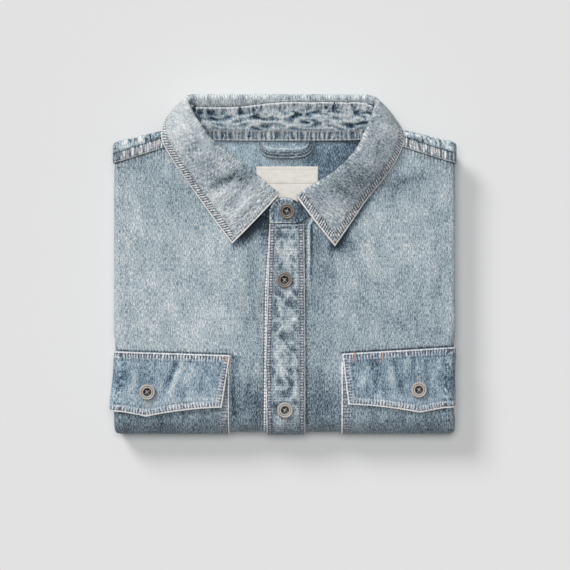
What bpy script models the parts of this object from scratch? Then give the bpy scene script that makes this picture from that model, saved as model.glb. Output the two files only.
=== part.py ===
"""A folded denim work shirt that lies on its back, with its collar towards +Y.

+X is the wearer's left and +Z is up. The origin is on the surface that the shirt lies on, under the
middle of the whole. Sizes are in millimetres, and become metres as each mesh is made.
"""

from math import copysign, cos, pi, radians, sin

import bmesh
import bpy
from mathutils import Matrix, Vector

MM = 0.001

# Cloth
DENIM = 1.2  # one ply, with its nap
TWO_PLY = 1.7  # collar leaf, flaps and placket, pressed
SEAM = 0.4  # gap that parts two pieces, side by side or one on the other

# The folded stack, measured over the two fronts
HALF_WIDTH = 136.6  # to the side folds
BOTTOM_FOLD = -134.4  # Y of the outermost line of the bottom fold
STACK = 28.0  # height of the whole stack
ROLL = 5.25  # radius of the rolls at the sides and shoulders, and at the underside's edges
ROLL_SQUARE = 3.0  # the roll's cut: 2 is round, and more is squarer
CORNER_SQUARE = 5.0  # the same for the corners seen from above
FOLD_PRESS = 0.45  # how much flatter the side rolls lie round the bottom fold
ROLL_STEPS = 8
TUCK_STEPS = 7  # steps of the roll before the cloth is tucked out of sight
FOLD_STEPS = 8
UNDERSIDE_EDGE = 92.0  # Y of the far edge of the lower layers
SHOULDER_EDGE = 97.0  # Y of the shoulder fold at the sides
SHOULDER_SLOPE = 0.23
SHOULDER_LIMIT = 108.0
YOKE_EDGE = 80.8  # Y of the seam between yoke and front, at the sides
YOKE_SLOPE = 0.32

FLAT_HALF = HALF_WIDTH - ROLL
FOLD_RADIUS = STACK / 2
FOLD_LINE = BOTTOM_FOLD + FOLD_RADIUS
TURN = pi * FOLD_RADIUS  # cloth that the bottom fold takes up
UNDERSIDE = UNDERSIDE_EDGE - ROLL - FOLD_LINE
PATH_END = FOLD_LINE - TURN - UNDERSIDE
WRAP = pi * ROLL  # cloth that a side roll takes up

# Under a pocket and its flap the side folds draw in, so that the whole stays about as wide
DRAW_FROM = 108.0  # x where they begin to
DRAWN_IN = (  # y, how far in on the right, on the left
    (-164.0, 0.0, 0.0),
    (-146.0, 1.6, 1.6),
    (-122.0, 1.6, 1.8),
    (-112.0, 1.0, 4.4),
    (-78.0, 3.3, 3.6),
    (-68.0, 2.3, 2.2),
    (-56.0, 0.0, 0.0),
)

# The neck opening in the fronts
NECK_HALF = 83.5
NECK_BACK = 103.0
NECK_DEPTH = 70.0
NECK_CURVE = 1.55  # 1 is a straight V and 2 is an ellipse
NECK_FLOOR = 19.1  # height of the inner yoke's face
NECK_SIDE = 84.2  # half the gap between the yoke's two shoulder ends
NECK_SEAM = 99.2  # Y of the inner yoke's edge, under the stand at the back

# The collar
LEAF_ROLL = 2.6  # radius of the collar's roll line
ROLL_FROM = radians(-90)
ROLL_TO = radians(60)
LEAF_TURN_IN = 3.5  # from the roll back to the seam on the stand
LEAF_CROWN = 5.0
CORNER_CROWN = 3.2
CORNERS = (5.5, 12.5)  # stations where the collar turns from the side to the back
CORNER_TURN_IN = 0.8
CORNER_PLY = 1.0
CORNER_GAP = 3.8  # more gap between leaf and stand there, where both twist

# The placket and the strip under it
PLACKET_TOP = 32.0
PLACKET_LIFT = SEAM
FRONT_LEFT_EDGE = 14.0  # X of the left front's edge, under the placket

# Buttons: 20 ligne, 12.7 mm across
BUTTON_STEPS = 18
BUTTON_PROFILE = (  # radius, height: up the underside's middle, round the rim and into the dish
    (0.0, 1.5),
    (3.6, 1.5),
    (4.6, 2.35),
    (5.4, 2.6),
    (6.1, 2.2),
    (6.35, 1.4),
    (6.1, 0.5),
    (5.2, 0.0),
    (0.0, 0.0),
)

# Folds of the two fronts: from one point to the other, with half the fold's width and its height
FOLDS = (  # x1, y1, x2, y2, half width, height
    (78, 68, 128, 79, 9, 1.3),
    (24, 40, 27, -6, 5, 1.2),
    (40, -10, 96, -52, 16, 0.9),
    (120, 30, 112, -44, 12, 0.8),
    (-118, 62, -88, 8, 14, 0.9),
    (-30, 12, -42, -52, 11, 0.8),
    (-126, -8, -96, -56, 12, 0.9),
    (-84, 34, -62, -22, 12, 0.6),
)

# The collar, station by station from the tip of the right point, round the back, to the left:
# the seam on the neck, the roll line and the leaf's edge
COLLAR = (  # seam x, y, z    roll x, y, z    edge x, y, z
    ((-7.7, 35.0, 27.4), (-4.9, 56.4, 33.5), (-41.9, 16.5, 29.9)),
    ((-28.6, 44.6, 27.6), (-16.5, 66.0, 35.5), (-50.9, 28.4, 29.9)),
    ((-52.0, 60.8, 27.6), (-35.7, 81.2, 38.0), (-62.9, 45.2, 29.9)),
    ((-72.0, 82.0, 27.4), (-58.4, 98.7, 40.0), (-78.1, 66.8, 29.9)),
    ((-78.6, 94.0, 26.2), (-68.5, 112.4, 41.0), (-90.1, 84.4, 30.0)),
    ((-79.0, 101.4, 24.0), (-75.4, 123.0, 41.0), (-98.4, 101.2, 29.8)),
    ((-75.0, 102.6, 22.0), (-78.8, 130.6, 40.0), (-94.6, 116.4, 19.0)),
    ((-69.0, 101.4, 20.9), (-75.0, 134.6, 38.0), (-82.5, 119.0, 8.0)),
    ((-58.0, 99.9, 20.2), (-63.7, 134.8, 36.0), (-64.7, 109.6, 3.6)),
    ((-2.9, 99.6, 20.0), (-2.9, 134.9, 34.5), (-2.9, 106.2, 2.8)),
    ((53.0, 99.9, 20.2), (57.9, 134.6, 36.0), (58.9, 109.6, 3.6)),
    ((64.0, 101.4, 20.9), (69.2, 133.6, 38.0), (75.6, 117.4, 8.0)),
    ((70.0, 102.4, 22.0), (74.0, 129.8, 40.0), (88.8, 114.6, 19.0)),
    ((74.6, 101.0, 24.0), (72.0, 121.2, 41.0), (95.8, 102.4, 29.8)),
    ((75.8, 93.0, 26.2), (65.9, 108.4, 41.0), (90.7, 86.0, 30.0)),
    ((70.0, 81.4, 27.4), (57.5, 90.5, 40.0), (80.3, 70.0, 29.9)),
    ((51.4, 60.8, 27.8), (40.3, 73.6, 38.0), (66.7, 53.2, 29.9)),
    ((29.6, 45.2, 28.4), (21.9, 62.4, 36.2), (53.1, 33.2, 29.9)),
    ((12.3, 33.6, 29.9), (9.9, 54.8, 34.5), (40.2, 14.4, 29.9)),
)
UNDER_END = (  # the stand's right end, which runs on under the tab: lower edge, upper edge
    ((12.4, 40.0, 27.0), (12.4, 47.0, 28.4)),
    ((8.5, 35.4, 27.0), (8.5, 51.0, 28.9)),
    ((1.0, 34.8, 27.1), (1.0, 53.0, 29.4)),
)
TAB_END = (  # the stand's left end, which laps over and is buttoned: lower edge, upper edge
    ((4.0, 33.0, 30.2), (5.0, 52.6, 33.4)),
    ((-4.0, 33.0, 30.2), (-4.4, 53.0, 32.8)),
    ((-9.6, 32.9, 30.2), (-9.4, 49.2, 32.0)),
    ((-12.2, 33.3, 30.2), (-12.2, 43.4, 31.2)),
)
TAB_BUTTON_AT = 1.3  # stations past the left point
TAB_BUTTON_SHARE = 0.5

# Pockets and flaps, right then left
POCKETS = (  # name, side, inner edge x, top y
    ("pocket_right", -1, 44.2, -80.0),
    ("pocket_left", 1, 45.4, -78.0),
)
FLAPS = (  # name, side, inner x, lean, top y inside, top y outside, corner y, point x, point y
    ("flap_right", -1, 43.4, 6.7, -72.4, -69.4, -114.6, 110.8, -121.6),
    ("flap_left", 1, 45.8, 5.1, -71.2, -66.0, -112.2, 108.3, -118.6),
)
POCKET_THICK = 1.2
FLAP_LIFT_TOP = SEAM
FLAP_LIFT = SEAM + POCKET_THICK + SEAM
FLAP_RISE = 1.1  # more lift at the flap's lower edge
WRAP_SHARE = 5 / 8  # share of the side roll that pockets and flaps go round

# Inside the neck: loop and label
LOOP_MIDDLE = 0.9
LOOP_INNER = (17.5, 5.2)
LOOP_OUTER = (22.2, 13.4)
LOOP_CURVE = 3.0
LOOP_TOP = 98.4
LOOP_RISE = 2.6
LABEL = (-22.6, 26.9, 47.6, 78.7)  # x from, x to, y from, y to
LABEL_THICK = 1.0

# The hidden layers
CORE_TOP = STACK - DENIM - SEAM
CORE_SIDE = FLAT_HALF - 6 * SEAM
MIDDLE_TOP = 2 * FOLD_RADIUS - 2 * ROLL - 0.3
MIDDLE_LOW = 2 * ROLL + 0.3
MIDDLE_SIDE = 134.8
MIDDLE_ROUND = 1.4
MIDDLE_INSET = 2.2  # behind the shoulder fold
MIDDLE_PAST_NECK = 3.5
BEVEL = 0.3
HAIR = 0.01  # keeps two points of an outline apart where it is thin

DENIM_LIGHT = (0.36, 0.44, 0.49)
DENIM_MID = (0.29, 0.37, 0.42)
DENIM_DARK = (0.17, 0.23, 0.29)
DENIM_PALE = (0.45, 0.52, 0.56)
COTTON = (0.80, 0.78, 0.74)
HORN = (0.13, 0.12, 0.12)


def shares(count, start=0.0, end=1.0):
    return [start + (end - start) * step / count for step in range(count + 1)]


def between(low, high, share):
    return low + (high - low) * share


def along_table(rows, place):
    """The second and later columns of a table, read at a place in its rising first column."""
    for low, high in zip(rows, rows[1:]):
        if place <= high[0]:
            share = max((place - low[0]) / (high[0] - low[0]), 0.0)
            return [between(a, b, share) for a, b in zip(low[1:], high[1:])]
    return list(rows[-1][1:])


def smooth(points, place):
    """A point of the smooth curve that passes through all the points; place 1.5 is halfway from the
    second to the third."""
    last = len(points) - 1
    index = min(max(int(place), 0), last - 1)
    share = place - index
    before, start, end, after = (
        Vector(points[min(max(index + step, 0), last)]) for step in (-1, 0, 1, 2)
    )
    return (
        start
        + (end - before) * (share / 2)
        + (before * 2 - start * 5 + end * 4 - after) * (share**2 / 2)
        + (start * 3 - before - end * 3 + after) * (share**3 / 2)
    )


# ---------------------------------------------------------------- the body's surface


def shoulder_line(across):
    """Y of the shoulder fold's outermost line."""
    inwards = HALF_WIDTH - min(abs(across), HALF_WIDTH)
    return min(SHOULDER_EDGE + SHOULDER_SLOPE * inwards, SHOULDER_LIMIT)


def yoke_seam(across):
    inwards = HALF_WIDTH - min(abs(across), HALF_WIDTH)
    return YOKE_EDGE + YOKE_SLOPE * inwards


def neck_line(across):
    """Y of the fronts' edge round the neck opening."""
    share = min(abs(across) / NECK_HALF, 1.0)
    return NECK_BACK - NECK_DEPTH * (1 - share**NECK_CURVE) ** (1 / NECK_CURVE)


def fold_height(across, along):
    """How far the largest folds raise the fronts."""
    total = 0.0
    for x1, y1, x2, y2, half_width, height in FOLDS:
        start, run = Vector((x1, y1)), Vector((x2 - x1, y2 - y1))
        offset = Vector((across, along)) - start
        share = offset.dot(run) / run.length_squared
        away = abs(offset.x * run.y - offset.y * run.x) / run.length
        if 0 < share < 1 and away < half_width:
            total += height * cos(pi / 2 * away / half_width) ** 2 * sin(pi * share)
    return total


def squared(value):
    """A sine or cosine, changed so that a circle becomes the roll's squarer cut."""
    return copysign(abs(value) ** (2 / ROLL_SQUARE), value)


def on_body(across, along, lift=0.0):
    """The point that far across and along the shirt's outer face, and lift above it. The face runs from
    the shoulders down to the bottom fold, round it and back along the underside, and rolls in at every
    edge."""
    side = max(abs(across) - FLAT_HALF, 0.0)
    shoulder = shoulder_line(across) - ROLL
    past_top = max(along - shoulder, 0.0)
    past_end = max(PATH_END - along, 0.0)
    past = past_top + past_end
    lift += fold_height(across, along)
    reach = max(side, past)
    out, drop = 0.0, -lift
    share_x, share_y = 0.0, 0.0
    if reach > 0:
        angle = min(reach / ROLL, pi)
        bend = min(max((FOLD_LINE - along) / FOLD_RADIUS, 0.0), pi)
        depth = ROLL * (1 - FOLD_PRESS * sin(bend))
        out = (ROLL + lift) * squared(sin(angle))
        drop = depth - (depth + lift) * squared(cos(angle))
        whole = (side**CORNER_SQUARE + past**CORNER_SQUARE) ** (1 / CORNER_SQUARE)
        share_x, share_y = side / whole, past / whole
    drawn = along_table(DRAWN_IN, along)[across > 0]
    drawn *= min(max((abs(across) - DRAW_FROM) / (FLAT_HALF - DRAW_FROM), 0.0), 1.0)
    x = copysign(min(abs(across), FLAT_HALF) - drawn + out * share_x, across)
    path = min(max(along, PATH_END), shoulder)
    path += copysign(out * share_y, past_top - past_end)
    if path >= FOLD_LINE:
        return Vector((x, path, STACK - drop))
    turned = (FOLD_LINE - path) / FOLD_RADIUS
    if turned < pi:
        radius = FOLD_RADIUS - drop
        return Vector((x, FOLD_LINE - radius * sin(turned), FOLD_RADIUS + radius * cos(turned)))
    return Vector((x, FOLD_LINE + (FOLD_LINE - TURN - path), drop))


def side_columns(side, steps=TUCK_STEPS):
    """Places across the body, from the end of the side roll in to its start."""
    return [side * (FLAT_HALF + WRAP * step / ROLL_STEPS) for step in range(steps, -1, -1)]


def fold_rows(first=FOLD_STEPS):
    """Places along the body, from within the bottom fold up to its start."""
    return [FOLD_LINE - TURN * step / FOLD_STEPS for step in range(first, -1, -1)]


def underside_rows():
    """Places along the body, from the tuck at the underside's far edge to its middle."""
    roll = [PATH_END - WRAP * step / ROLL_STEPS for step in (TUCK_STEPS, 5, 3, 1.5)]
    return roll + [PATH_END, between(PATH_END, FOLD_LINE - TURN, 0.5)]


# ---------------------------------------------------------------- making pieces


def material(name, colour, roughness=0.9, metallic=0.0):
    made = bpy.data.materials.new(name)
    made.use_nodes = True
    shader = made.node_tree.nodes["Principled BSDF"]
    shader.inputs["Base Color"].default_value = (*colour, 1.0)
    shader.inputs["Roughness"].default_value = roughness
    shader.inputs["Metallic"].default_value = metallic
    return made


def add_object(name, bm, finish):
    mesh = bpy.data.meshes.new(name)
    bm.to_mesh(mesh)
    bm.free()
    mesh.materials.append(finish)
    mesh.shade_smooth()
    made = bpy.data.objects.new(name, mesh)
    bpy.data.collections["folded_shirt"].objects.link(made)
    return made


def sheet_of(columns, rows, place):
    """A grid whose points lie where place(column, row) puts them, in metres."""
    bm = bmesh.new()
    across, up = len(columns) - 1, len(rows) - 1
    bmesh.ops.create_grid(bm, x_segments=across, y_segments=up, size=0.5)
    for vertex in bm.verts:
        column = columns[round((vertex.co.x + 0.5) * across)]
        row = rows[round((vertex.co.y + 0.5) * up)]
        vertex.co = Vector(place(column, row)) * MM
    return bm


def cloth(name, columns, rows, place, thickness, finish):
    """A wall of cloth whose points are on its outer face."""
    made = add_object(name, sheet_of(columns, rows, place), finish)
    wall = made.modifiers.new("wall", "SOLIDIFY")
    wall.thickness = thickness * MM
    wall.offset = -1.0
    return made


def collar_wall(name, columns, rows, middle, facing, finish):
    """A wall round its middle surface, thickened the way that facing(column, row) looks, so that leaf
    and stand keep their gap where both twist. It is pressed thin at the collar's back corners."""

    def half_wall(column, row):
        return facing(column, row) * (between(TWO_PLY, CORNER_PLY, cornering(column)) / 2)

    bm = sheet_of(columns, rows, lambda a, b: middle(a, b) - half_wall(a, b))
    near = list(bm.verts)
    places = [
        (columns[index % len(columns)], rows[index // len(columns)]) for index in range(len(near))
    ]
    extruded = bmesh.ops.extrude_face_region(bm, geom=bm.faces[:], use_keep_orig=True)
    far = [item for item in extruded["geom"] if isinstance(item, bmesh.types.BMVert)]
    by_place = {tuple(vertex.co): place for vertex, place in zip(near, places)}
    for vertex in far:
        vertex.co += half_wall(*by_place[tuple(vertex.co)]) * (2 * MM)
    bmesh.ops.recalc_face_normals(bm, faces=bm.faces)
    return add_object(name, bm, finish)


# ---------------------------------------------------------------- fronts, yoke and pockets


def seam_x(along):
    """X of the seam between the right front and its button placket."""
    return along_table(((-134.0, -16.9), (-20.0, -15.8), (35.0, -12.0)), along)[0]


def front(name, side, finish):
    knee = -60.0  # above this the rows spread to meet the yoke seam and the neck

    def place(column, row):
        inner = seam_x(row) - SEAM if side < 0 else FRONT_LEFT_EDGE
        across = inner if abs(column) < 20 else column
        along = row
        if row > knee:
            top = yoke_seam(across)
            if abs(across) < NECK_HALF:
                top = min(top, neck_line(across))
            along = between(knee, top - SEAM / 2, (row - knee) / 100)
        return on_body(across, along)

    flat = (118, 105, 94, NECK_SIDE, 83.4, 82, 79, 74, 67, 58, 47, 36, 26, 15)
    columns = side_columns(side) + [side * across for across in flat]
    rows = underside_rows() + fold_rows() + [-112, -100, -80, -69, knee]
    rows += [knee + 100 * share for share in shares(8)[1:]]
    if side > 0:
        columns.reverse()
    cloth(name, columns, rows, place, DENIM, finish)


def yoke_end(name, side, finish):
    """One end of the yoke: over the shoulder from the front seam, and round the shoulder fold."""

    def place(column, row):
        across = column
        fold = shoulder_line(across) - ROLL
        if row <= 1:
            return on_body(across, between(yoke_seam(across) + SEAM / 2, fold, row))
        return on_body(across, fold + WRAP * (row - 1))

    flat = (118, 105, 94, NECK_SIDE)
    columns = side_columns(side) + [side * across for across in flat]
    rows = [0, 0.5, 1] + [1 + step / ROLL_STEPS for step in range(1, TUCK_STEPS + 1)]
    if side > 0:
        columns.reverse()
    cloth(name, columns, rows, place, DENIM, finish)


def yoke_inside(finish):
    """The inner yoke, at the bottom of the neck opening."""
    half, edge = 76.0, 1.6

    def place(column, row):
        low = neck_line(column) + edge
        sag = 0.25 * (cos(pi * column / 40) - 1) * sin(pi * row)
        return column, between(low, NECK_SEAM, row), NECK_FLOOR + sag

    columns = (-half, -70, -61, -50, -38, -26, -13, 0, 13, 26, 38, 50, 61, 70, half)
    cloth("yoke_inside", columns, shares(5), place, DENIM, finish)


def placket(finish):
    edges = (  # y, left x, right x
        (-170.0, -14.4, 16.7),
        (-134.0, -14.4, 16.7),
        (-78.0, -15.7, 16.8),
        (-37.0, -14.4, 16.6),
        (PLACKET_TOP, -12.3, 15.8),
    )

    def place(column, row):
        left, right = along_table(edges, row)
        return on_body(between(left, right, column), row, PLACKET_LIFT + TWO_PLY)

    rows = fold_rows(6) + [-100, -78, -58, -37, -16, 6, 20, PLACKET_TOP]
    cloth("placket", shares(4), rows, place, TWO_PLY, finish)


def button_placket(finish):
    def place(column, row):
        left, right = seam_x(row), FRONT_LEFT_EDGE - SEAM
        across = between(left, right, column)
        return on_body(across, min(row, neck_line(across) - 0.6))

    rows = underside_rows() + fold_rows() + [-100, -78, -58, -37, -16, 6, 20, 34]
    cloth("button_placket", shares(3), rows, place, DENIM, finish)


def pocket(name, side, inner, top, finish):
    """A chest pocket, from under its flap down round the bottom fold, and round the side fold."""
    lift = SEAM + POCKET_THICK

    def place(column, row):
        return on_body(side * column, row, lift)

    outer = side_columns(1, round(ROLL_STEPS * WRAP_SHARE))
    columns = outer + [118, 105, 92, 80, 68, 56, inner]
    rows = fold_rows(6) + [-112, -100, top]
    if side > 0:
        columns.reverse()
    cloth(name, columns, rows, place, POCKET_THICK, finish)


def flap_surface(side, inner, lean, top_in, top_out, corner, point_x, point_y):
    """The flap's outer face, as a function of the place across and the share of the way down."""
    reach = point_x - inner - lean

    def place(column, share):
        across = column + lean * share * max(0.0, 1 - (column - inner) / reach)
        outward = (min(across, HALF_WIDTH) - inner) / (HALF_WIDTH - inner)
        top = between(top_in, top_out, outward)
        tip = max(1 - abs(across - point_x) / reach, 0.0) ** 1.7
        bottom = between(corner, point_y, tip)
        lift = between(FLAP_LIFT_TOP, FLAP_LIFT, min(share * 6, 1.0)) + FLAP_RISE * share**2
        return on_body(side * across, between(top, bottom, share), lift + TWO_PLY)

    return place


def flap(name, side, inner, *sizes, finish):
    surface = flap_surface(side, inner, *sizes)
    point_x = sizes[4]
    outer = side_columns(1, round(ROLL_STEPS * WRAP_SHARE))
    columns = outer + [124, 117, point_x, 103, 95, 84, 72, 59, inner]
    rows = [1 - share for share in (0, 0.12, 0.18, 0.35, 0.55, 0.75, 0.9, 1)][::-1]

    def place(column, row):
        return surface(column, 1 - row)

    if side > 0:
        columns.reverse()
    cloth(name, columns, rows, place, TWO_PLY, finish)


# ---------------------------------------------------------------- collar, loop and label


def collar_frame(place):
    """At a station of the collar: the roll's middle, the way from it to the roll line, the way from it
    to the leaf, and the seam and edge points."""
    seam, roll, edge = (smooth([row[part] for row in COLLAR], place) for part in range(3))
    rolls = [row[1] for row in COLLAR]
    step = 0.35
    last = len(COLLAR) - 1
    tangent = smooth(rolls, min(place + step, last)) - smooth(rolls, max(place - step, 0))
    outward = (roll - seam).normalized()
    leafward = outward.cross(tangent).normalized()
    return roll - outward * LEAF_ROLL, outward, leafward, seam, edge


def cornering(station):
    """1 where the collar turns from a side to the back, down to 0 two stations away."""
    return max(1 - min(abs(station - at) for at in CORNERS) / 2, 0.0)


def turn_in(station):
    """Width of the leaf's strip between the roll and its seam on the stand."""
    return between(LEAF_TURN_IN, CORNER_TURN_IN, cornering(station))


def leaf_point(place, row):
    """The leaf's middle: row -1 is its seam on the stand, 0 to 1 goes round the roll, 2 is its edge."""
    middle, outward, leafward, _, edge = collar_frame(place)
    angle = between(ROLL_FROM, ROLL_TO, min(max(row, 0.0), 1.0))
    start = middle + (outward * cos(angle) + leafward * sin(angle)) * LEAF_ROLL
    if row < 0:
        return start + outward * (turn_in(place) * row)
    if row <= 1:
        return start
    share = row - 1
    bulge = between(LEAF_CROWN, CORNER_CROWN, cornering(place))
    crown = (start + edge) / 2 + leafward * bulge
    return start * (1 - share) ** 2 + crown * (2 * share * (1 - share)) + edge * share**2


def stand_edges(station):
    """The stand's lower and upper edges at a station of the collar."""
    middle, outward, leafward, seam, _ = collar_frame(station)
    gap = SEAM + CORNER_GAP * cornering(station)
    return seam, middle - leafward * LEAF_ROLL - outward * (turn_in(station) + gap)


def stand_facing(place, _):
    return collar_frame(min(max(place, 0), len(COLLAR) - 1))[2]


def leaf_facing(place, row):
    """The way that the leaf's outer face looks."""
    _, outward, leafward, _, _ = collar_frame(place)
    angle = between(ROLL_FROM, ROLL_TO, min(max(row, 0.0), 1.0))
    round_roll = outward * cos(angle) + leafward * sin(angle)
    if row <= 1:
        return round_roll
    last, step = len(COLLAR) - 1, 0.05
    run = leaf_point(min(place + step, last), row) - leaf_point(max(place - step, 0), row)
    fall = leaf_point(place, row + step) - leaf_point(place, row - step)
    facing = fall.cross(run).normalized()
    if facing.dot(round_roll) < 0:
        facing.negate()
    return round_roll.lerp(facing, min((row - 1) * 3, 1)).normalized()


def stand_point(place, share):
    """The stand's middle: stations below 0 are its right end, under the tab, and those past the last
    one are the tab."""
    first, last = len(UNDER_END), len(COLLAR) - 1
    if place < 0:
        ends = list(UNDER_END) + [stand_edges(0), stand_edges(1)]
        low, high = (smooth([end[part] for end in ends], place + first) for part in (0, 1))
    elif place > last:
        ends = [stand_edges(last - 1), stand_edges(last)] + list(TAB_END)
        low, high = (smooth([end[part] for end in ends], place - last + 1) for part in (0, 1))
    else:
        low, high = stand_edges(place)
    return low.lerp(high, share)


def collar(leaf_finish, stand_finish):
    last = len(COLLAR) - 1
    rows = [-1] + shares(4) + [1.2, 1.4, 1.6, 1.8, 2]
    stations = shares(2 * last, 0, last)
    collar_wall("collar_leaf", stations, rows, leaf_point, leaf_facing, leaf_finish)
    first, last = -len(UNDER_END), last + len(TAB_END)
    stations = shares(2 * (last - first), first, last)
    collar_wall("collar_stand", stations, shares(3), stand_point, stand_facing, stand_finish)


def hanger_loop(finish):
    """A flat tape, sewn into the neck seam at both ends."""

    def place(column, row):
        angle = pi * column
        half = between(LOOP_OUTER[0], LOOP_INNER[0], row)
        depth = between(LOOP_OUTER[1], LOOP_INNER[1], row)
        side = copysign(abs(cos(angle)) ** (2 / LOOP_CURVE), -cos(angle))
        down = sin(angle) ** (2 / LOOP_CURVE)
        height = NECK_FLOOR + SEAM + DENIM + LOOP_RISE * sin(angle)
        return LOOP_MIDDLE + half * side, LOOP_TOP - depth * down, height

    cloth("hanger_loop", shares(14), shares(2), place, DENIM, finish)


def label(finish):
    x_from, x_to, y_from, y_to = LABEL

    def place(column, row):
        y = between(y_from, y_to, row)
        return between(x_from, x_to, column), y, NECK_FLOOR + SEAM + LABEL_THICK

    cloth("label", shares(4), shares(3), place, LABEL_THICK, finish)


# ---------------------------------------------------------------- buttons


def button(name, seat, upward, finish):
    """A turned button whose underside lies just over a seat on the cloth."""
    bm = bmesh.new()
    points = [bm.verts.new((radius * MM, 0, height * MM)) for radius, height in BUTTON_PROFILE]
    for start, end in zip(points, points[1:]):
        bm.edges.new((start, end))
    made = add_object(name, bm, finish)
    turn = made.modifiers.new("turn", "SCREW")
    turn.steps = BUTTON_STEPS
    turn.render_steps = BUTTON_STEPS
    turn.use_merge_vertices = True
    turn.merge_threshold = 0.00001
    tilt = Vector((0, 0, 1)).rotation_difference(upward)
    made.matrix_world = Matrix.Translation((seat + upward * SEAM) * MM) @ tilt.to_matrix().to_4x4()


def seat_on(surface, column, row):
    """The point of an outer face, and the way it faces."""
    step = 0.02
    here = surface(column, row)
    right = surface(column + step, row) - here
    up = surface(column, row + step) - here
    facing = right.cross(up).normalized()
    return here, facing if facing.z > 0 else -facing


def buttons(finish):
    tab = len(COLLAR) - 1 + TAB_BUTTON_AT
    here, facing = seat_on(stand_point, tab, TAB_BUTTON_SHARE)
    button("button_stand", here + facing * (TWO_PLY / 2 + 0.1), facing, finish)
    for name, x, y in (("button_chest", 0.0, -12.4), ("button_waist", 0.4, -116.4)):
        here, facing = seat_on(lambda a, b: on_body(a, b, PLACKET_LIFT + TWO_PLY), x, y)
        button(name, here, facing, finish)
    for row, down in zip(FLAPS, (0.62, 0.64)):
        surface = flap_surface(*row[1:])
        here, facing = seat_on(surface, row[7] - 1.0, down)
        button("button_" + row[0], here + facing * 0.2, facing, finish)


# ---------------------------------------------------------------- hidden layers


def core_outline(across, half_height):
    """The hidden layers cut front to back at one place across: points in y and z, from the bottom fold
    over the top to the shoulder end, where two folds show between the fronts, and back underneath."""
    middle = FOLD_RADIUS
    top, low = middle + half_height, middle - half_height
    upper, lower = min(top, MIDDLE_TOP), max(low, MIDDLE_LOW)
    if abs(across) < NECK_SIDE:
        step_y = neck_line(across) - 1.0
        upper_end = NECK_BACK + MIDDLE_PAST_NECK
    else:
        step_y = shoulder_line(across) - ROLL - 2 * SEAM
        upper_end = shoulder_line(across) - MIDDLE_INSET
    lower_end = upper_end - 1.0
    tuck_y = UNDERSIDE_EDGE - ROLL - DENIM
    points = []
    for step in shares(10, -1, 1):
        angle = pi / 2 * step
        points.append((FOLD_LINE - half_height * cos(angle), middle + half_height * sin(angle)))
    points += [
        (between(FOLD_LINE, min(step_y, 0.0), 0.5), top),
        (step_y - BEVEL, top),
        (step_y, min(MIDDLE_TOP, top - HAIR)),
        (upper_end - MIDDLE_ROUND, upper),
        (upper_end, between(middle, upper, 0.55)),
        (upper_end - MIDDLE_ROUND, middle),
        (lower_end, between(middle, lower, 0.55)),
        (lower_end - MIDDLE_ROUND, lower),
        (tuck_y + BEVEL, max(MIDDLE_LOW, low + HAIR)),
        (tuck_y, low),
        (between(FOLD_LINE, tuck_y, 0.5), low),
    ]
    return points


def hidden_layers(finish):
    """The back, sleeves and tail, folded inside the fronts. The loft runs from one side to the other."""
    full = CORE_TOP - FOLD_RADIUS
    thin = MIDDLE_TOP - FOLD_RADIUS
    inner = (118, 104, 94, NECK_SIDE + 0.1, 83, 81.6, 79, 74, 67, 58, 46, 32, 16)
    stations = [(-MIDDLE_SIDE, thin - 1.4), (-MIDDLE_SIDE + 0.9, thin), (-CORE_SIDE, thin)]
    stations += [(-CORE_SIDE, full)] + [(-across, full) for across in inner]
    stations += [(0.0, full)] + [(-across, size) for across, size in reversed(stations)]
    bm = bmesh.new()
    loops = []
    for across, size in stations:
        outline = core_outline(across, size)
        loops.append([bm.verts.new(Vector((across, y, z)) * MM) for y, z in outline])
    count = len(loops[0])
    for near, far in zip(loops, loops[1:]):
        for step in range(count):
            after = (step + 1) % count
            bm.faces.new((near[step], near[after], far[after], far[step]))
    bm.faces.new(loops[0][::-1])
    bm.faces.new(loops[-1])
    bmesh.ops.recalc_face_normals(bm, faces=bm.faces)
    bmesh.ops.triangulate(bm, faces=bm.faces)
    add_object("hidden_layers", bm, finish)


def main():
    for old in list(bpy.data.objects):
        bpy.data.objects.remove(old)
    shirt = bpy.data.collections.new("folded_shirt")
    bpy.context.scene.collection.children.link(shirt)

    body = material("washed_denim", DENIM_LIGHT)
    band = material("washed_denim_seamed", DENIM_MID)
    deep = material("unfaded_denim", DENIM_DARK)
    pale = material("faded_denim", DENIM_PALE)
    tape = material("woven_cotton", COTTON)
    horn = material("grey_horn", HORN, 0.4)

    front("front_right", -1, body)
    front("front_left", 1, body)
    yoke_end("yoke_right", -1, band)
    yoke_end("yoke_left", 1, band)
    yoke_inside(deep)
    placket(band)
    button_placket(deep)
    for name, side, inner, top in POCKETS:
        pocket(name, side, inner, top, deep)
    for row in FLAPS:
        flap(*row, finish=band)
    collar(pale, band)
    hanger_loop(deep)
    label(tape)
    buttons(horn)
    hidden_layers(deep)


main()
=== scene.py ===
"""The looks of a folded denim work shirt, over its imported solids.

The shirt lies on its back with its collar towards +Y, and +X is the wearer's left. Every length here
is in millimetres until a mesh is made, and the shapes follow the solids' own named values: each piece
of cloth is laid on the same surface, with its creases, puckers and worn edges worked into it.
"""

from functools import lru_cache
from math import copysign, cos, exp, hypot, pi, radians, sin

import bmesh
import bpy
from mathutils import Matrix, Vector, kdtree, noise


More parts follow.
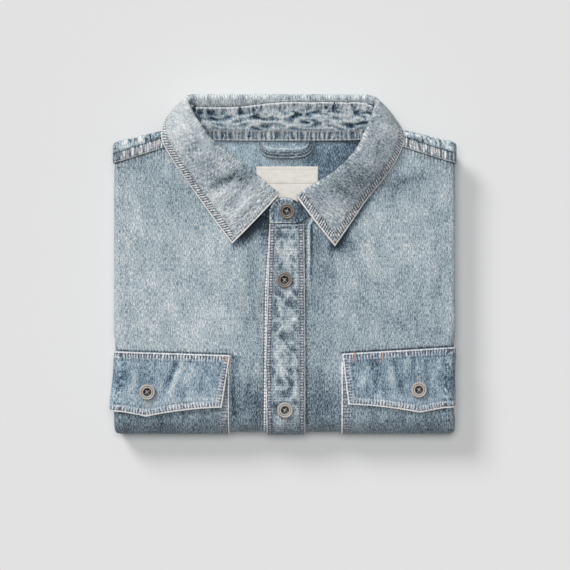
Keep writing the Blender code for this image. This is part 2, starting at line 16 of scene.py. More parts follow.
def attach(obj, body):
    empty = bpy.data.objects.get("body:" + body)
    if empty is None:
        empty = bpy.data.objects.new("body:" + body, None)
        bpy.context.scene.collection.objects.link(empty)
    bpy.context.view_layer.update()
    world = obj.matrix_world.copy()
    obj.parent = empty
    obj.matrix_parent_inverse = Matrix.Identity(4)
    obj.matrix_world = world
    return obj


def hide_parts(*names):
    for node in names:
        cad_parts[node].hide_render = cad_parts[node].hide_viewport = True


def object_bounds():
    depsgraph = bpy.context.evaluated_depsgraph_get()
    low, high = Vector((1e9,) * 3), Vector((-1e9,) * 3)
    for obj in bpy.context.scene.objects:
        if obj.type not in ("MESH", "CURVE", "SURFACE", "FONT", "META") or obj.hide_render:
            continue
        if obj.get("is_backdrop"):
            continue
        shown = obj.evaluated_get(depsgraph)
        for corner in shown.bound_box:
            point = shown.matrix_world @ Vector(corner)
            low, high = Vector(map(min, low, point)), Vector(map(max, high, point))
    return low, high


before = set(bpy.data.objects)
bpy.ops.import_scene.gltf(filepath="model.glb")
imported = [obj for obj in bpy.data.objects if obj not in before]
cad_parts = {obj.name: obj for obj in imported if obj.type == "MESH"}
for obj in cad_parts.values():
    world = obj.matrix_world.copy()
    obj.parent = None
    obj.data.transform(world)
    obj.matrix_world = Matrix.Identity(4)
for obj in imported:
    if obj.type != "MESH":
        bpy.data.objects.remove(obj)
solid_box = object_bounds()

MM = 0.001

# Cloth
DENIM = 1.2  # one ply, with its nap
TWO_PLY = 1.7  # collar leaf, flaps and placket, pressed
SEAM = 0.4  # gap that parts two pieces

# The folded stack
HALF_WIDTH = 136.6
BOTTOM_FOLD = -134.4
STACK = 28.0
ROLL = 5.25
ROLL_SQUARE = 3.0
CORNER_SQUARE = 5.0
FOLD_PRESS = 0.45
UNDERSIDE_EDGE = 92.0
SHOULDER_EDGE = 97.0
SHOULDER_SLOPE = 0.23
SHOULDER_LIMIT = 108.0
YOKE_EDGE = 80.8
YOKE_SLOPE = 0.32
TUCK = 7 / 8  # share of a roll before the cloth is tucked out of sight

FLAT_HALF = HALF_WIDTH - ROLL
FOLD_RADIUS = STACK / 2
FOLD_LINE = BOTTOM_FOLD + FOLD_RADIUS
TURN = pi * FOLD_RADIUS
PATH_END = FOLD_LINE - TURN - (UNDERSIDE_EDGE - ROLL - FOLD_LINE)
WRAP = pi * ROLL

# Under a pocket and its flap the side folds draw in, so that the whole stays about as wide
DRAW_FROM = 108.0
DRAWN_IN = (  # y, how far in on the right, on the left
    (-164.0, 0.0, 0.0),
    (-146.0, 1.6, 1.6),
    (-122.0, 1.6, 1.8),
    (-112.0, 1.0, 4.4),
    (-78.0, 3.3, 3.6),
    (-68.0, 2.3, 2.2),
    (-56.0, 0.0, 0.0),
)

# The neck opening
NECK_HALF = 83.5
NECK_BACK = 103.0
NECK_DEPTH = 70.0
NECK_CURVE = 1.55
NECK_FLOOR = 19.1
NECK_SIDE = 84.2
NECK_SEAM = 99.2

# The collar
LEAF_ROLL = 2.6
ROLL_FROM = radians(-90)
ROLL_TO = radians(60)
LEAF_TURN_IN = 3.5
LEAF_CROWN = 5.0
CORNER_CROWN = 3.2
CORNERS = (5.5, 12.5)
BACK = (7.3, 10.7)  # the stations between which the leaf crosses the back of the neck
SEAM_WAVER = (  # how much further down the leaf's seam goes from one station to another
    (2.6, 6.4, 7.2),
    (-4.5, 8.3, 9.1),
    (1.9, 10.3, 11.0),
)
CORNER_TURN_IN = 0.8
CORNER_PLY = 1.0
CORNER_GAP = 0.9  # the solids part further here; the cloth is sewn

PLACKET_TOP = 32.0
PLACKET_LIFT = SEAM
FRONT_LEFT_EDGE = 14.0
PLACKET_EDGES = (  # y, left x, right x
    (-170.0, -14.4, 16.7),
    (-134.0, -14.4, 16.7),
    (-78.0, -15.7, 16.8),
    (-37.0, -14.4, 16.6),
    (PLACKET_TOP, -12.3, 15.8),
)

POCKETS = (  # name, side, inner edge x, top y
    ("pocket_right", -1, 44.2, -80.0),
    ("pocket_left", 1, 45.4, -78.0),
)
FLAPS = (  # name, side, inner x, lean, top y inside, top y outside, corner y, point x, point y
    ("flap_right", -1, 43.4, 6.7, -72.4, -69.4, -114.6, 110.8, -121.6),
    ("flap_left", 1, 45.8, 5.1, -71.2, -66.0, -112.2, 108.3, -118.6),
)
POCKET_THICK = 1.2
FLAP_LIFT_TOP = SEAM
FLAP_LIFT = SEAM + POCKET_THICK + SEAM
FLAP_RISE = 1.1
WRAP_SHARE = 5 / 8

LOOP_MIDDLE = 0.9
LOOP_INNER = (17.5, 5.2)
LOOP_OUTER = (22.2, 13.4)
LOOP_CURVE = 3.0
LOOP_TOP = 98.4
LOOP_RISE = 2.6
LABEL = (-22.6, 26.9, 47.6, 78.7)
LABEL_THICK = 1.0
LABEL_HEM = 13.7  # from its top down to the fold's seam

MIDDLE_SIDE = 134.8
MIDDLE_LOW = 2 * ROLL + 0.3
MIDDLE_TOP = STACK - 2 * ROLL - 0.3

FOLDS = (  # x1, y1, x2, y2, half width, height: the two fronts' largest folds, as in the solids
    (78, 68, 128, 79, 9, 1.3),
    (24, 40, 27, -6, 5, 1.2),
    (40, -10, 96, -52, 16, 0.9),
    (120, 30, 112, -44, 12, 0.8),
    (-118, 62, -88, 8, 14, 0.9),
    (-30, 12, -42, -52, 11, 0.8),
    (-126, -8, -96, -56, 12, 0.9),
    (-84, 34, -62, -22, 12, 0.6),
)
CREASES = (  # x1, y1, x2, y2, half width, height: softer ones, a trough where the height is negative
    (80, 60, 122, 73, 7, -0.5),
    (92, 78, 108, 60, 6, 0.35),
    (34, 30, 40, -22, 7, -0.5),
    (20, -30, 24, -66, 3, 0.35),
    (50, -20, 104, -58, 7, -0.35),
    (60, 20, 78, -20, 9, 0.3),
    (128, 8, 118, -50, 5, -0.3),
    (-104, 70, -80, 22, 8, -0.4),
    (-122, 66, -114, 20, 6, 0.35),
    (-24, 22, -27, -40, 5, -0.4),
    (-36, -8, -50, -60, 8, -0.35),
    (-60, 40, -44, 0, 8, 0.3),
    (-96, 10, -74, -50, 9, -0.3),
    (-20, -62, -24, -118, 4, 0.3),
    (26, -72, 32, -120, 6, -0.3),
)

COLLAR = (  # seam x, y, z    roll x, y, z    edge x, y, z
    ((-7.7, 35.0, 27.4), (-4.9, 56.4, 33.5), (-41.9, 16.5, 29.9)),
    ((-28.6, 44.6, 27.6), (-16.5, 66.0, 35.5), (-50.9, 28.4, 29.9)),
    ((-52.0, 60.8, 27.6), (-35.7, 81.2, 38.0), (-62.9, 45.2, 29.9)),
    ((-72.0, 82.0, 27.4), (-58.4, 98.7, 40.0), (-78.1, 66.8, 29.9)),
    ((-78.6, 94.0, 26.2), (-68.5, 112.4, 41.0), (-90.1, 84.4, 30.0)),
    ((-79.0, 101.4, 24.0), (-75.4, 123.0, 41.0), (-98.4, 101.2, 29.8)),
    ((-75.0, 102.6, 22.0), (-78.8, 130.6, 40.0), (-94.6, 116.4, 19.0)),
    ((-69.0, 101.4, 20.9), (-75.0, 134.6, 38.0), (-82.5, 119.0, 8.0)),
    ((-58.0, 99.9, 20.2), (-63.7, 134.8, 36.0), (-64.7, 109.6, 3.6)),
    ((-2.9, 99.6, 20.0), (-2.9, 134.9, 34.5), (-2.9, 106.2, 2.8)),
    ((53.0, 99.9, 20.2), (57.9, 134.6, 36.0), (58.9, 109.6, 3.6)),
    ((64.0, 101.4, 20.9), (69.2, 133.6, 38.0), (75.6, 117.4, 8.0)),
    ((70.0, 102.4, 22.0), (74.0, 129.8, 40.0), (88.8, 114.6, 19.0)),
    ((74.6, 101.0, 24.0), (72.0, 121.2, 41.0), (95.8, 102.4, 29.8)),
    ((75.8, 93.0, 26.2), (65.9, 108.4, 41.0), (90.7, 86.0, 30.0)),
    ((70.0, 81.4, 27.4), (57.5, 90.5, 40.0), (80.3, 70.0, 29.9)),
    ((51.4, 60.8, 27.8), (40.3, 73.6, 38.0), (66.7, 53.2, 29.9)),
    ((29.6, 45.2, 28.4), (21.9, 62.4, 36.2), (53.1, 33.2, 29.9)),
    ((12.3, 33.6, 29.9), (9.9, 54.8, 34.5), (40.2, 14.4, 29.9)),
)
LAST = len(COLLAR) - 1
UNDER_END = (
    ((12.4, 40.0, 27.0), (12.4, 47.0, 28.4)),
    ((8.5, 35.4, 27.0), (8.5, 51.0, 28.9)),
    ((1.0, 34.8, 27.1), (1.0, 53.0, 29.4)),
)
TAB_END = (
    ((4.0, 33.0, 30.2), (5.0, 52.6, 33.4)),
    ((-4.0, 33.0, 30.2), (-4.4, 53.0, 32.8)),
    ((-9.6, 32.9, 30.2), (-9.4, 49.2, 32.0)),
    ((-12.2, 33.3, 30.2), (-12.2, 43.4, 31.2)),
)
TAB_BUTTON = (LAST + 1.3, 0.5)  # station, share of the stand's height


def between(low, high, share):
    return low + (high - low) * share


def clamp(value, low=0.0, high=1.0):
    return min(max(value, low), high)


def ease(value, start, end):
    """0 before start, 1 past end, and a soft step between them."""
    share = clamp((value - start) / (end - start))
    return share * share * (3 - 2 * share)


def swell(value, half):
    """1 at 0, falling softly to 0 at half either way."""
    return cos(pi / 2 * min(abs(value) / half, 1.0)) ** 2


def grain(x, y, size_x, size_y, seed=0.0):
    """Smooth noise from about -1 to 1, with patches of the given size."""
    return noise.noise(Vector((x / size_x, y / size_y, seed)))


def ridges(x, y, size_x, size_y, seed=0.0):
    """Sharp ridges between rounded hollows, from about -1 to 1 and about a size apart."""
    bent = x + 0.4 * size_x * grain(x, y, size_x * 1.3, size_y * 0.6, seed + 0.5)
    return 1 - 3.2 * abs(grain(bent, y, size_x, size_y, seed))


def spread(start, end, pitch):
    """Evenly spaced places from start to end, about a pitch apart."""
    count = max(round(abs(end - start) / pitch), 1)
    return [between(start, end, step / count) for step in range(count + 1)]


def along_table(rows, place):
    """The values of a table's columns at a place, its first column being places in rising order."""
    for low, high in zip(rows, rows[1:]):
        if place <= high[0]:
            share = max((place - low[0]) / (high[0] - low[0]), 0.0)
            return [between(a, b, share) for a, b in zip(low[1:], high[1:])]
    return list(rows[-1][1:])


def smooth(points, place):
    """A point of the smooth curve through all the points."""
    last = len(points) - 1
    index = min(max(int(place), 0), last - 1)
    share = place - index
    before, start, end, after = (
        Vector(points[min(max(index + step, 0), last)]) for step in (-1, 0, 1, 2)
    )
    return (
        start
        + (end - before) * (share / 2)
        + (before * 2 - start * 5 + end * 4 - after) * (share**2 / 2)
        + (start * 3 - before - end * 3 + after) * (share**3 / 2)
    )


class Line:
    """A seam or an edge: how far a point is from it, and how far along it the nearest place is."""

    def __init__(self, points):
        self.points = [Vector((*point, 0.0)[:3]) for point in points]
        self.lengths = [0.0]
        for start, end in zip(self.points, self.points[1:]):
            self.lengths.append(self.lengths[-1] + (end - start).length)
        self.tree = kdtree.KDTree(len(self.points))
        for index, point in enumerate(self.points):
            self.tree.insert(point, index)
        self.tree.balance()

    def near(self, *place):
        _, index, distance = self.tree.find((*place, 0.0)[:3])
        return distance, self.lengths[index]


# ---------------------------------------------------------------- the body's surface


def shoulder_line(across):
    inwards = HALF_WIDTH - min(abs(across), HALF_WIDTH)
    return min(SHOULDER_EDGE + SHOULDER_SLOPE * inwards, SHOULDER_LIMIT)


def yoke_seam(across):
    inwards = HALF_WIDTH - min(abs(across), HALF_WIDTH)
    return YOKE_EDGE + YOKE_SLOPE * inwards


def neck_line(across):
    share = min(abs(across) / NECK_HALF, 1.0)
    return NECK_BACK - NECK_DEPTH * (1 - share**NECK_CURVE) ** (1 / NECK_CURVE)


def seam_x(along):
    return along_table(((-134.0, -16.9), (-20.0, -15.8), (35.0, -12.0)), along)[0]


def folded(x, y, table):
    """Height of a table's folds and creases at a place."""
    total = 0.0
    for x1, y1, x2, y2, half_width, height in table:
        run_x, run_y = x2 - x1, y2 - y1
        length = hypot(run_x, run_y)
        share = ((x - x1) * run_x + (y - y1) * run_y) / length**2
        away = abs((x - x1) * run_y - (y - y1) * run_x) / length
        if 0 < share < 1 and away < half_width:
            total += height * swell(away, half_width) * sin(pi * share)
    return total


def squared(value):
    """A sine or cosine, changed so that a circle becomes the roll's squarer cut."""
    return copysign(abs(value) ** (2 / ROLL_SQUARE), value)


def on_body(across, along, lift=0.0):
    """The point that far across and along the shirt's outer face, and lift above it. The face runs
    from the shoulders down to the bottom fold, round it and back along the underside, and rolls in
    at every edge."""
    side = max(abs(across) - FLAT_HALF, 0.0)
    shoulder = shoulder_line(across) - ROLL
    past_top = max(along - shoulder, 0.0)
    past_end = max(PATH_END - along, 0.0)
    past = past_top + past_end
    lift += folded(across, along, FOLDS)
    reach = max(side, past)
    out, drop = 0.0, -lift
    share_x, share_y = 0.0, 0.0
    if reach > 0:
        angle = min(reach / ROLL, pi)
        depth = ROLL * (1 - FOLD_PRESS * sin(clamp((FOLD_LINE - along) / FOLD_RADIUS, 0.0, pi)))
        out = (ROLL + lift) * squared(sin(angle))
        drop = depth - (depth + lift) * squared(cos(angle))
        whole = (side**CORNER_SQUARE + past**CORNER_SQUARE) ** (1 / CORNER_SQUARE)
        share_x, share_y = side / whole, past / whole
    drawn = along_table(DRAWN_IN, along)[across > 0]
    drawn *= clamp((abs(across) - DRAW_FROM) / (FLAT_HALF - DRAW_FROM))
    x = copysign(min(abs(across), FLAT_HALF) - drawn + out * share_x, across)
    path = min(max(along, PATH_END), shoulder)
    path += copysign(out * share_y, past_top - past_end)
    if path >= FOLD_LINE:
        return Vector((x, path, STACK - drop))
    turned = (FOLD_LINE - path) / FOLD_RADIUS
    if turned < pi:
        radius = FOLD_RADIUS - drop
        return Vector((x, FOLD_LINE - radius * sin(turned), FOLD_RADIUS + radius * cos(turned)))
    return Vector((x, FOLD_LINE + (FOLD_LINE - TURN - path), drop))


def on_top(along):
    """1 where the outer face is seen from above, down to 0 round the bottom fold."""
    return ease(along, FOLD_LINE - TURN * 0.45, FOLD_LINE)


# ---------------------------------------------------------------- the collar's surfaces


@lru_cache(maxsize=None)
def collar_frame(place):
    """At a station of the collar: the roll's middle, the way from it to the roll line, the way from
    it to the leaf, and the seam and edge points."""
    seam, roll, edge = (smooth([row[part] for row in COLLAR], place) for part in range(3))
    rolls = [row[1] for row in COLLAR]
    step = 0.35
    tangent = smooth(rolls, min(place + step, LAST)) - smooth(rolls, max(place - step, 0))
    outward = (roll - seam).normalized()
    leafward = outward.cross(tangent).normalized()
    return roll - outward * LEAF_ROLL, outward, leafward, seam, edge


def cornering(station):
    """1 where the leaf turns a corner behind the shoulder, falling to 0 two stations away."""
    return max(1 - min(abs(station - at) for at in CORNERS) / 2, 0.0)


def turn_in(station):
    """How far the leaf comes down inside to its seam: across the back the seam wavers and climbs."""
    start, end = BACK
    across_back = ease(station, start - 0.3, start + 0.3) * (1 - ease(station, end - 0.3, end + 0.3))
    deep = LEAF_TURN_IN + 0.5 * grain(station, 0, 0.16, 1, 77) * across_back
    for more, low, high in SEAM_WAVER:
        deep += more * ease(station, low, high)
    return between(deep, CORNER_TURN_IN, cornering(station))


def leaf_point(place, row):
    """The leaf's middle: row -1 is its seam on the stand, 0 to 1 goes round the roll, 2 is its edge."""
    middle, outward, leafward, _, edge = collar_frame(place)
    angle = between(ROLL_FROM, ROLL_TO, clamp(row))
    start = middle + (outward * cos(angle) + leafward * sin(angle)) * LEAF_ROLL
    if row < 0:
        return start + outward * (turn_in(place) * row)
    if row <= 1:
        return start
    share = row - 1
    crown = (start + edge) / 2 + leafward * between(LEAF_CROWN, CORNER_CROWN, cornering(place))
    return start * (1 - share) ** 2 + crown * (2 * share * (1 - share)) + edge * share**2


@lru_cache(maxsize=None)
def leaf_facing(place, row):
    """The way that the leaf's outer face looks."""
    _, outward, leafward, _, _ = collar_frame(place)
    angle = between(ROLL_FROM, ROLL_TO, clamp(row))
    round_roll = outward * cos(angle) + leafward * sin(angle)
    if row <= 1:
        return round_roll
    step = 0.05
    run = leaf_point(min(place + step, LAST), row) - leaf_point(max(place - step, 0), row)
    fall = leaf_point(place, row + step) - leaf_point(place, row - step)
    facing = fall.cross(run).normalized()
    if facing.dot(round_roll) < 0:
        facing.negate()
    return round_roll.lerp(facing, min((row - 1) * 3, 1)).normalized()


def stand_edges(station):
    middle, outward, leafward, seam, _ = collar_frame(station)
    gap = SEAM + CORNER_GAP * cornering(station)
    return seam, middle - leafward * LEAF_ROLL - outward * (turn_in(station) + gap)


@lru_cache(maxsize=None)
def stand_rows(place):
    """The stand's lower and upper edges: stations below 0 are its end under the tab, and those past
    the last one are the tab."""
    first = len(UNDER_END)
    if place < 0:
        ends = list(UNDER_END) + [stand_edges(0), stand_edges(1)]
        return [smooth([end[part] for end in ends], place + first) for part in (0, 1)]
    if place > LAST:
        ends = [stand_edges(LAST - 1), stand_edges(LAST)] + list(TAB_END)
        return [smooth([end[part] for end in ends], place - LAST + 1) for part in (0, 1)]
    return stand_edges(place)


def stand_point(place, share):
    low, high = stand_rows(place)
    return low.lerp(high, share)


def stand_facing(place, _=0):
    """The way that the stand's outer face looks."""
    return collar_frame(clamp(place, 0, LAST))[2]


# ---------------------------------------------------------------- making cloth


def box_grid(columns, rows):
    bm = bmesh.new()
    bmesh.ops.create_grid(bm, x_segments=len(columns) - 1, y_segments=len(rows) - 1, size=0.5)
    bm.verts.ensure_lookup_table()
    return bm, [(column, row) for row in rows for column in columns]


def dye(bm, places, look):
    """Gives each point its place on the cloth and on its nearest seam, in millimetres, and its tone: paler
    or deeper from washing and from painted shade and highlights, puckered, worn, and, where the look says
    so, crumpled."""
    cloth_map = bm.loops.layers.uv.new("cloth")
    seam_map = bm.loops.layers.uv.new("seam")
    wash = bm.verts.layers.float_color.new("wash")
    looks = [look(*place) for place in places]
    for vertex, (_, _, *washed_and_shaded) in zip(bm.verts, looks):
        vertex[wash] = (*washed_and_shaded, 0.0)[:4]
    for face in bm.faces:
        for loop in face.loops:
            at_cloth, at_seam = looks[loop.vert.index][:2]
            loop[cloth_map].uv = at_cloth
            loop[seam_map].uv = at_seam


def add_piece(name, bm, finish):
    """A piece is named for its node with _made after it, because the node keeps its own name."""
    name += "_made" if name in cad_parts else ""
    mesh = bpy.data.meshes.new(name)
    bm.to_mesh(mesh)
    bm.free()
    mesh.materials.append(finish)
    mesh.shade_smooth()
    piece = bpy.data.objects.new(name, mesh)
    bpy.context.scene.collection.objects.link(piece)
    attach(piece, "root")
    return piece


def cloth(name, columns, rows, surface, look, thickness, finish):
    """A wall of cloth whose outer face is the surface; the wall is on the other side of it."""
    bm, places = box_grid(columns, rows)
    for vertex, place in zip(bm.verts, places):
        vertex.co = surface(*place) * MM
    dye(bm, places, look)
    bm.normal_update()
    middle = places.index((columns[len(columns) // 2], rows[-1 - len(rows) // 4]))
    if bm.verts[middle].normal.z < 0:
        bmesh.ops.reverse_faces(bm, faces=bm.faces)
    piece = add_piece(name, bm, finish)
    wall = piece.modifiers.new("wall", "SOLIDIFY")
    wall.thickness = thickness * MM
    wall.offset = -1.0
    return piece


def two_sided_cloth(name, columns, rows, middle, facing, thickness, look, finish):
    """A wall round its middle surface, thickened both ways along facing."""
    bm, places = box_grid(columns, rows)
    halves = [facing(*place) * (thickness(*place) / 2) for place in places]
    for vertex, place, half in zip(bm.verts, places, halves):
        vertex.co = (middle(*place) - half) * MM
    dye(bm, places, look)
    half_at = {tuple(vertex.co): half for vertex, half in zip(bm.verts, halves)}
    extruded = bmesh.ops.extrude_face_region(bm, geom=bm.faces[:], use_keep_orig=True)
    for item in extruded["geom"]:
        if isinstance(item, bmesh.types.BMVert):
            item.co += half_at[tuple(item.co)] * (2 * MM)
    bmesh.ops.recalc_face_normals(bm, faces=bm.faces)
    return add_piece(name, bm, finish)


# ---------------------------------------------------------------- finishes


def linear(hex_colour):
    """A colour written as sRGB hex, in the linear values that a shader takes."""
    parts = [int(hex_colour[start : start + 2], 16) / 255 for start in (1, 3, 5)]
    return (*(c / 12.92 if c <= 0.04045 else ((c + 0.055) / 1.055) ** 2.4 for c in parts), 1.0)


def new_material(name):
    """A material and its node tree."""
    made = bpy.data.materials.new(name)
    made.use_nodes = True
    return made, made.node_tree


def add(tree, kind, inputs=(), **settings):
    """Adds a node with its settings, its fixed inputs and its links."""
    node = tree.nodes.new("ShaderNode" + kind)
    for key, value in settings.items():
        setattr(node, key, value)
    for socket, value in dict(inputs).items():
        if isinstance(value, bpy.types.NodeSocket):
            tree.links.new(value, node.inputs[socket])
        else:
            node.inputs[socket].default_value = value
    return node


def ramp(tree, value, stops):
    """A colour ramp through stops of a position and a colour."""
    made = add(tree, "ValToRGB", {"Fac": value})
    elements = made.color_ramp.elements
    for _ in stops[2:]:
        elements.new(0.5)
    for element, (position, _) in zip(elements, stops):
        element.position = position
    for element, (_, colour) in zip(elements, stops):
        element.color = colour
    return made.outputs["Color"]


def finished(made, colour, relief, strength, deep, gloss):
    """Gives a material its colour, a relief some millimetres deep, and how it takes the light."""
    tree, shader = made.node_tree, made.node_tree.nodes["Principled BSDF"]
    bump = add(tree, "Bump", {"Height": relief, "Strength": strength, "Distance": deep * MM})
    tree.links.new(colour, shader.inputs["Base Color"])
    tree.links.new(bump.outputs[0], shader.inputs["Normal"])
    for socket, value in gloss.items():
        shader.inputs[socket].default_value = value
    return made


def mixed_colour(tree, share, colour, other, blend="MIX"):
    """The first colour, and the other one as far as the share goes."""
    inputs = {"Fac": share, "Color1": colour, "Color2": other}
    return add(tree, "MixRGB", inputs, blend_type=blend).outputs[0]


EDGE_LINES = {  # how far in from its edge, how much paler: up to past the first row of stitches
    "free": ((0, 0.8), (1, 0.74), (1.35, 0.04), (1.7, -0.26), (2.2, -0.02)),
    "flap": ((0, 0.66), (1.05, 0.6), (1.4, 0.06), (1.7, -0.12), (2.2, 0.08)),
    "inner": ((0, 0.45), (0.5, 0.62), (1.15, 0.56), (1.5, -0.12), (2, 0)),
    "sewn": ((0, 0.44), (0.9, 0.4), (1.25, -0.12), (1.7, -0.2), (2.2, 0)),
    "band": ((0, 0.48), (0.75, 0.42), (1.1, -0.02), (1.5, -0.24), (2, 0.06)),
}
SECOND_ROWS = {  # and from there, across the second row
    "free": ((5.4, 0), (6, -0.22), (6.7, 0)),
    "flap": ((5.4, 0.1), (6.3, -0.1), (7.2, 0)),
    "inner": ((7.6, 0), (8.2, -0.2), (8.8, 0)),
    "sewn": ((6.8, 0), (7.4, -0.3), (8.2, 0)),
    "band": ((3.3, 0.06), (4, -0.26), (4.7, 0)),
}
EDGE_REACH = 10.0
NEEDLE_HOLES = "#6E686D"
ROSY = (1.0, 0.925, 0.935, 1.0)


# Denim: cotton twill of indigo warp and white weft, stonewashed. Its warp shows as fine pale streaks
# along the cloth, it is white where seams and edges rub, and it keeps its blue in troughs and under
# flaps, and the troughs are deepened further with painted shade. Between two rows of stitches it puckers
# into slanting dashes; where it was crumpled in washing it has rubbed ridges, with painted shade in sharp
# dark creases and painted highlights along the ridges. Cotton has no gloss.
def denim(
    name,
    colours,
    lines="free",
    dash=2.6,
    dashes=0.5,
    slant=0.0,
    wobble=1.5,
    warp=(0.7, 2.8),
    slubs=1.3,
    specks=0.6,
    patchy=1.0,
    pinkish=0.55,
):
    made, tree = new_material(name)
    cloth_at = add(tree, "UVMap", uv_map="cloth").outputs["UV"]
    seam_at = add(tree, "UVMap", uv_map="seam").outputs["UV"]
    # Red is the tone, from washing and from painted shade and highlights; green the puckers, blue the wear,
    # alpha the crumples.
    wash = add(tree, "Attribute", attribute_name="wash")
    washed_and_shaded = add(tree, "SeparateColor", {"Color": wash.outputs["Color"]})
    shade, pucker, worn = washed_and_shaded.outputs["Red"], washed_and_shaded.outputs["Green"], washed_and_shaded.outputs["Blue"]
    crumpled = wash.outputs["Alpha"]

    def math(operation, *values):
        return add(tree, "Math", dict(enumerate(values)), operation=operation).outputs[0]

    def plus(base, value, amount):
        return math("MULTIPLY_ADD", value, amount, base)

    def stepped(value, start, end, low, high, kind="LINEAR"):
        wanted = {"Value": value, "From Min": start, "From Max": end, "To Min": low, "To Max": high}
        return add(tree, "MapRange", wanted, interpolation_type=kind).outputs[0]

    def pattern(at, size_x, size_y, detail=2.0, roughness=0.5, distortion=0.0, shift=0.0):
        """Noise with patches of the given size in millimetres, centred on 0."""
        sizes = {0: at, 1: (1 / size_x, 1 / size_y, 1.0), 2: (shift, shift, 0.0)}
        sized = add(tree, "VectorMath", sizes, operation="MULTIPLY_ADD").outputs[0]
        wanted = {"Vector": sized, "Scale": 1.0, "Detail": detail}
        wanted |= {"Roughness": roughness, "Distortion": distortion}
        return math("SUBTRACT", add(tree, "TexNoise", wanted, noise_dimensions="2D").outputs["Fac"], 0.5)

    def fine_line(noisy, half, strength):
        """A line where the noise crosses 0."""
        return stepped(math("ABSOLUTE", noisy), 0.0, half, strength, 0.0, "SMOOTHSTEP")

    streak = pattern(cloth_at, *warp, 2.0, 0.6)  # slubs of the warp, drawn wider than a real yarn
    speck = pattern(cloth_at, 0.6, 0.85, 0.0)
    mottle = pattern(cloth_at, 4.0, 9.0, 1.0)
    cloud = pattern(cloth_at, 13.0, 24.0, 1.0)
    ends = pattern(cloth_at, 0.8, 22.0, 1.0)  # warp ends that took the dye unevenly
    tone = plus(shade, streak, slubs)
    tone = plus(tone, speck, specks)
    tone = plus(tone, mottle, 0.22 * patchy)
    tone = plus(tone, cloud, 0.26 * patchy)
    tone = plus(tone, ends, 0.3)

    slanted = add(tree, "Mapping", {"Vector": seam_at, "Rotation": (0, 0, radians(slant))}).outputs[0]
    wave = {"Vector": slanted, "Scale": pi / 10 / dash, "Distortion": wobble, "Detail": 1.0}
    waved = add(tree, "TexWave", wave | {"Detail Scale": 2.2}).outputs["Fac"]
    uneven = pattern(seam_at, 2.6, 3.0, 1.0)
    dashed = plus(stepped(waved, 0.0, 0.6, -0.7, 0.12, "SMOOTHSTEP"), uneven, 1.0)
    dashed = math("MULTIPLY", pucker, dashed)
    tone = plus(tone, dashed, dashes)

    # Painted shade along sharp crease lines and painted highlights along ridge lines, as far as the cloth is
    # crumpled.
    creased = math("ADD", fine_line(pattern(cloth_at, 5.6, 6.6, 2.0, 0.5, 0.6), 0.09, -0.42), 0.06)
    ridged = fine_line(pattern(cloth_at, 4.8, 6.4, 2.0, 0.5, 0.6, 31.7), 0.07, 0.36)
    creased = math("MULTIPLY", crumpled, math("ADD", creased, ridged))
    tone = plus(tone, creased, 1.0)

    away = add(tree, "SeparateXYZ", {0: seam_at}).outputs["Y"]
    middle = 0.5
    stops = [
        (place / EDGE_REACH, (middle + paler, middle + paler, middle + paler, 1.0))
        for place, paler in EDGE_LINES[lines] + SECOND_ROWS[lines]
    ]
    rubbed = math("SUBTRACT", ramp(tree, math("MULTIPLY", away, 1 / EDGE_REACH), stops), middle)
    tone = plus(tone, math("MULTIPLY", worn, rubbed), plus(1.0, uneven, 0.5))

    last = len(colours) - 1
    dyed = ramp(tree, tone, [(index / last, linear(colour)) for index, colour in enumerate(colours)])
    # The stitches' holes and their soiled thread leave a pinkish charcoal in the dashes.
    holes = stepped(dashed, -0.06, -0.4, 0.0, 1.1 * pinkish)
    dyed = mixed_colour(tree, holes, dyed, linear(NEEDLE_HOLES))
    rosy = math("MULTIPLY", worn, stepped(away, 5.5, 8.0, pinkish, 0.0))
    dyed = mixed_colour(tree, rosy, dyed, ROSY, "MULTIPLY")

    height = plus(math("MULTIPLY", speck, 0.9), streak, 0.6)
    height = plus(height, dashed, 0.9)
    height = plus(height, creased, 0.8)
    gloss = {"Roughness": 0.92, "Specular IOR Level": 0.2, "Sheen Weight": 0.08, "Sheen Roughness": 0.6}
    return finished(made, dyed, height, 0.6, 0.3, gloss)


# Sewing thread: spun polyester-cotton, off-white, stained a little by the dye. Matt, with a faint twist.
def thread(name, pale, stained):
    made, tree = new_material(name)
    at = add(tree, "TexCoord").outputs["Object"]
    patches = add(tree, "TexNoise", {"Vector": at, "Scale": 1 / (4 * MM), "Detail": 2.0}).outputs["Fac"]
    colour = mixed_colour(tree, patches, linear(stained), linear(pale))
    wave = {"Vector": at, "Scale": 1 / (0.8 * MM), "Distortion": 2.0}
    twist = add(tree, "TexWave", wave, bands_direction="DIAGONAL").outputs["Fac"]
    return finished(made, colour, twist, 0.3, 0.1, {"Roughness": 0.8, "Specular IOR Level": 0.25})


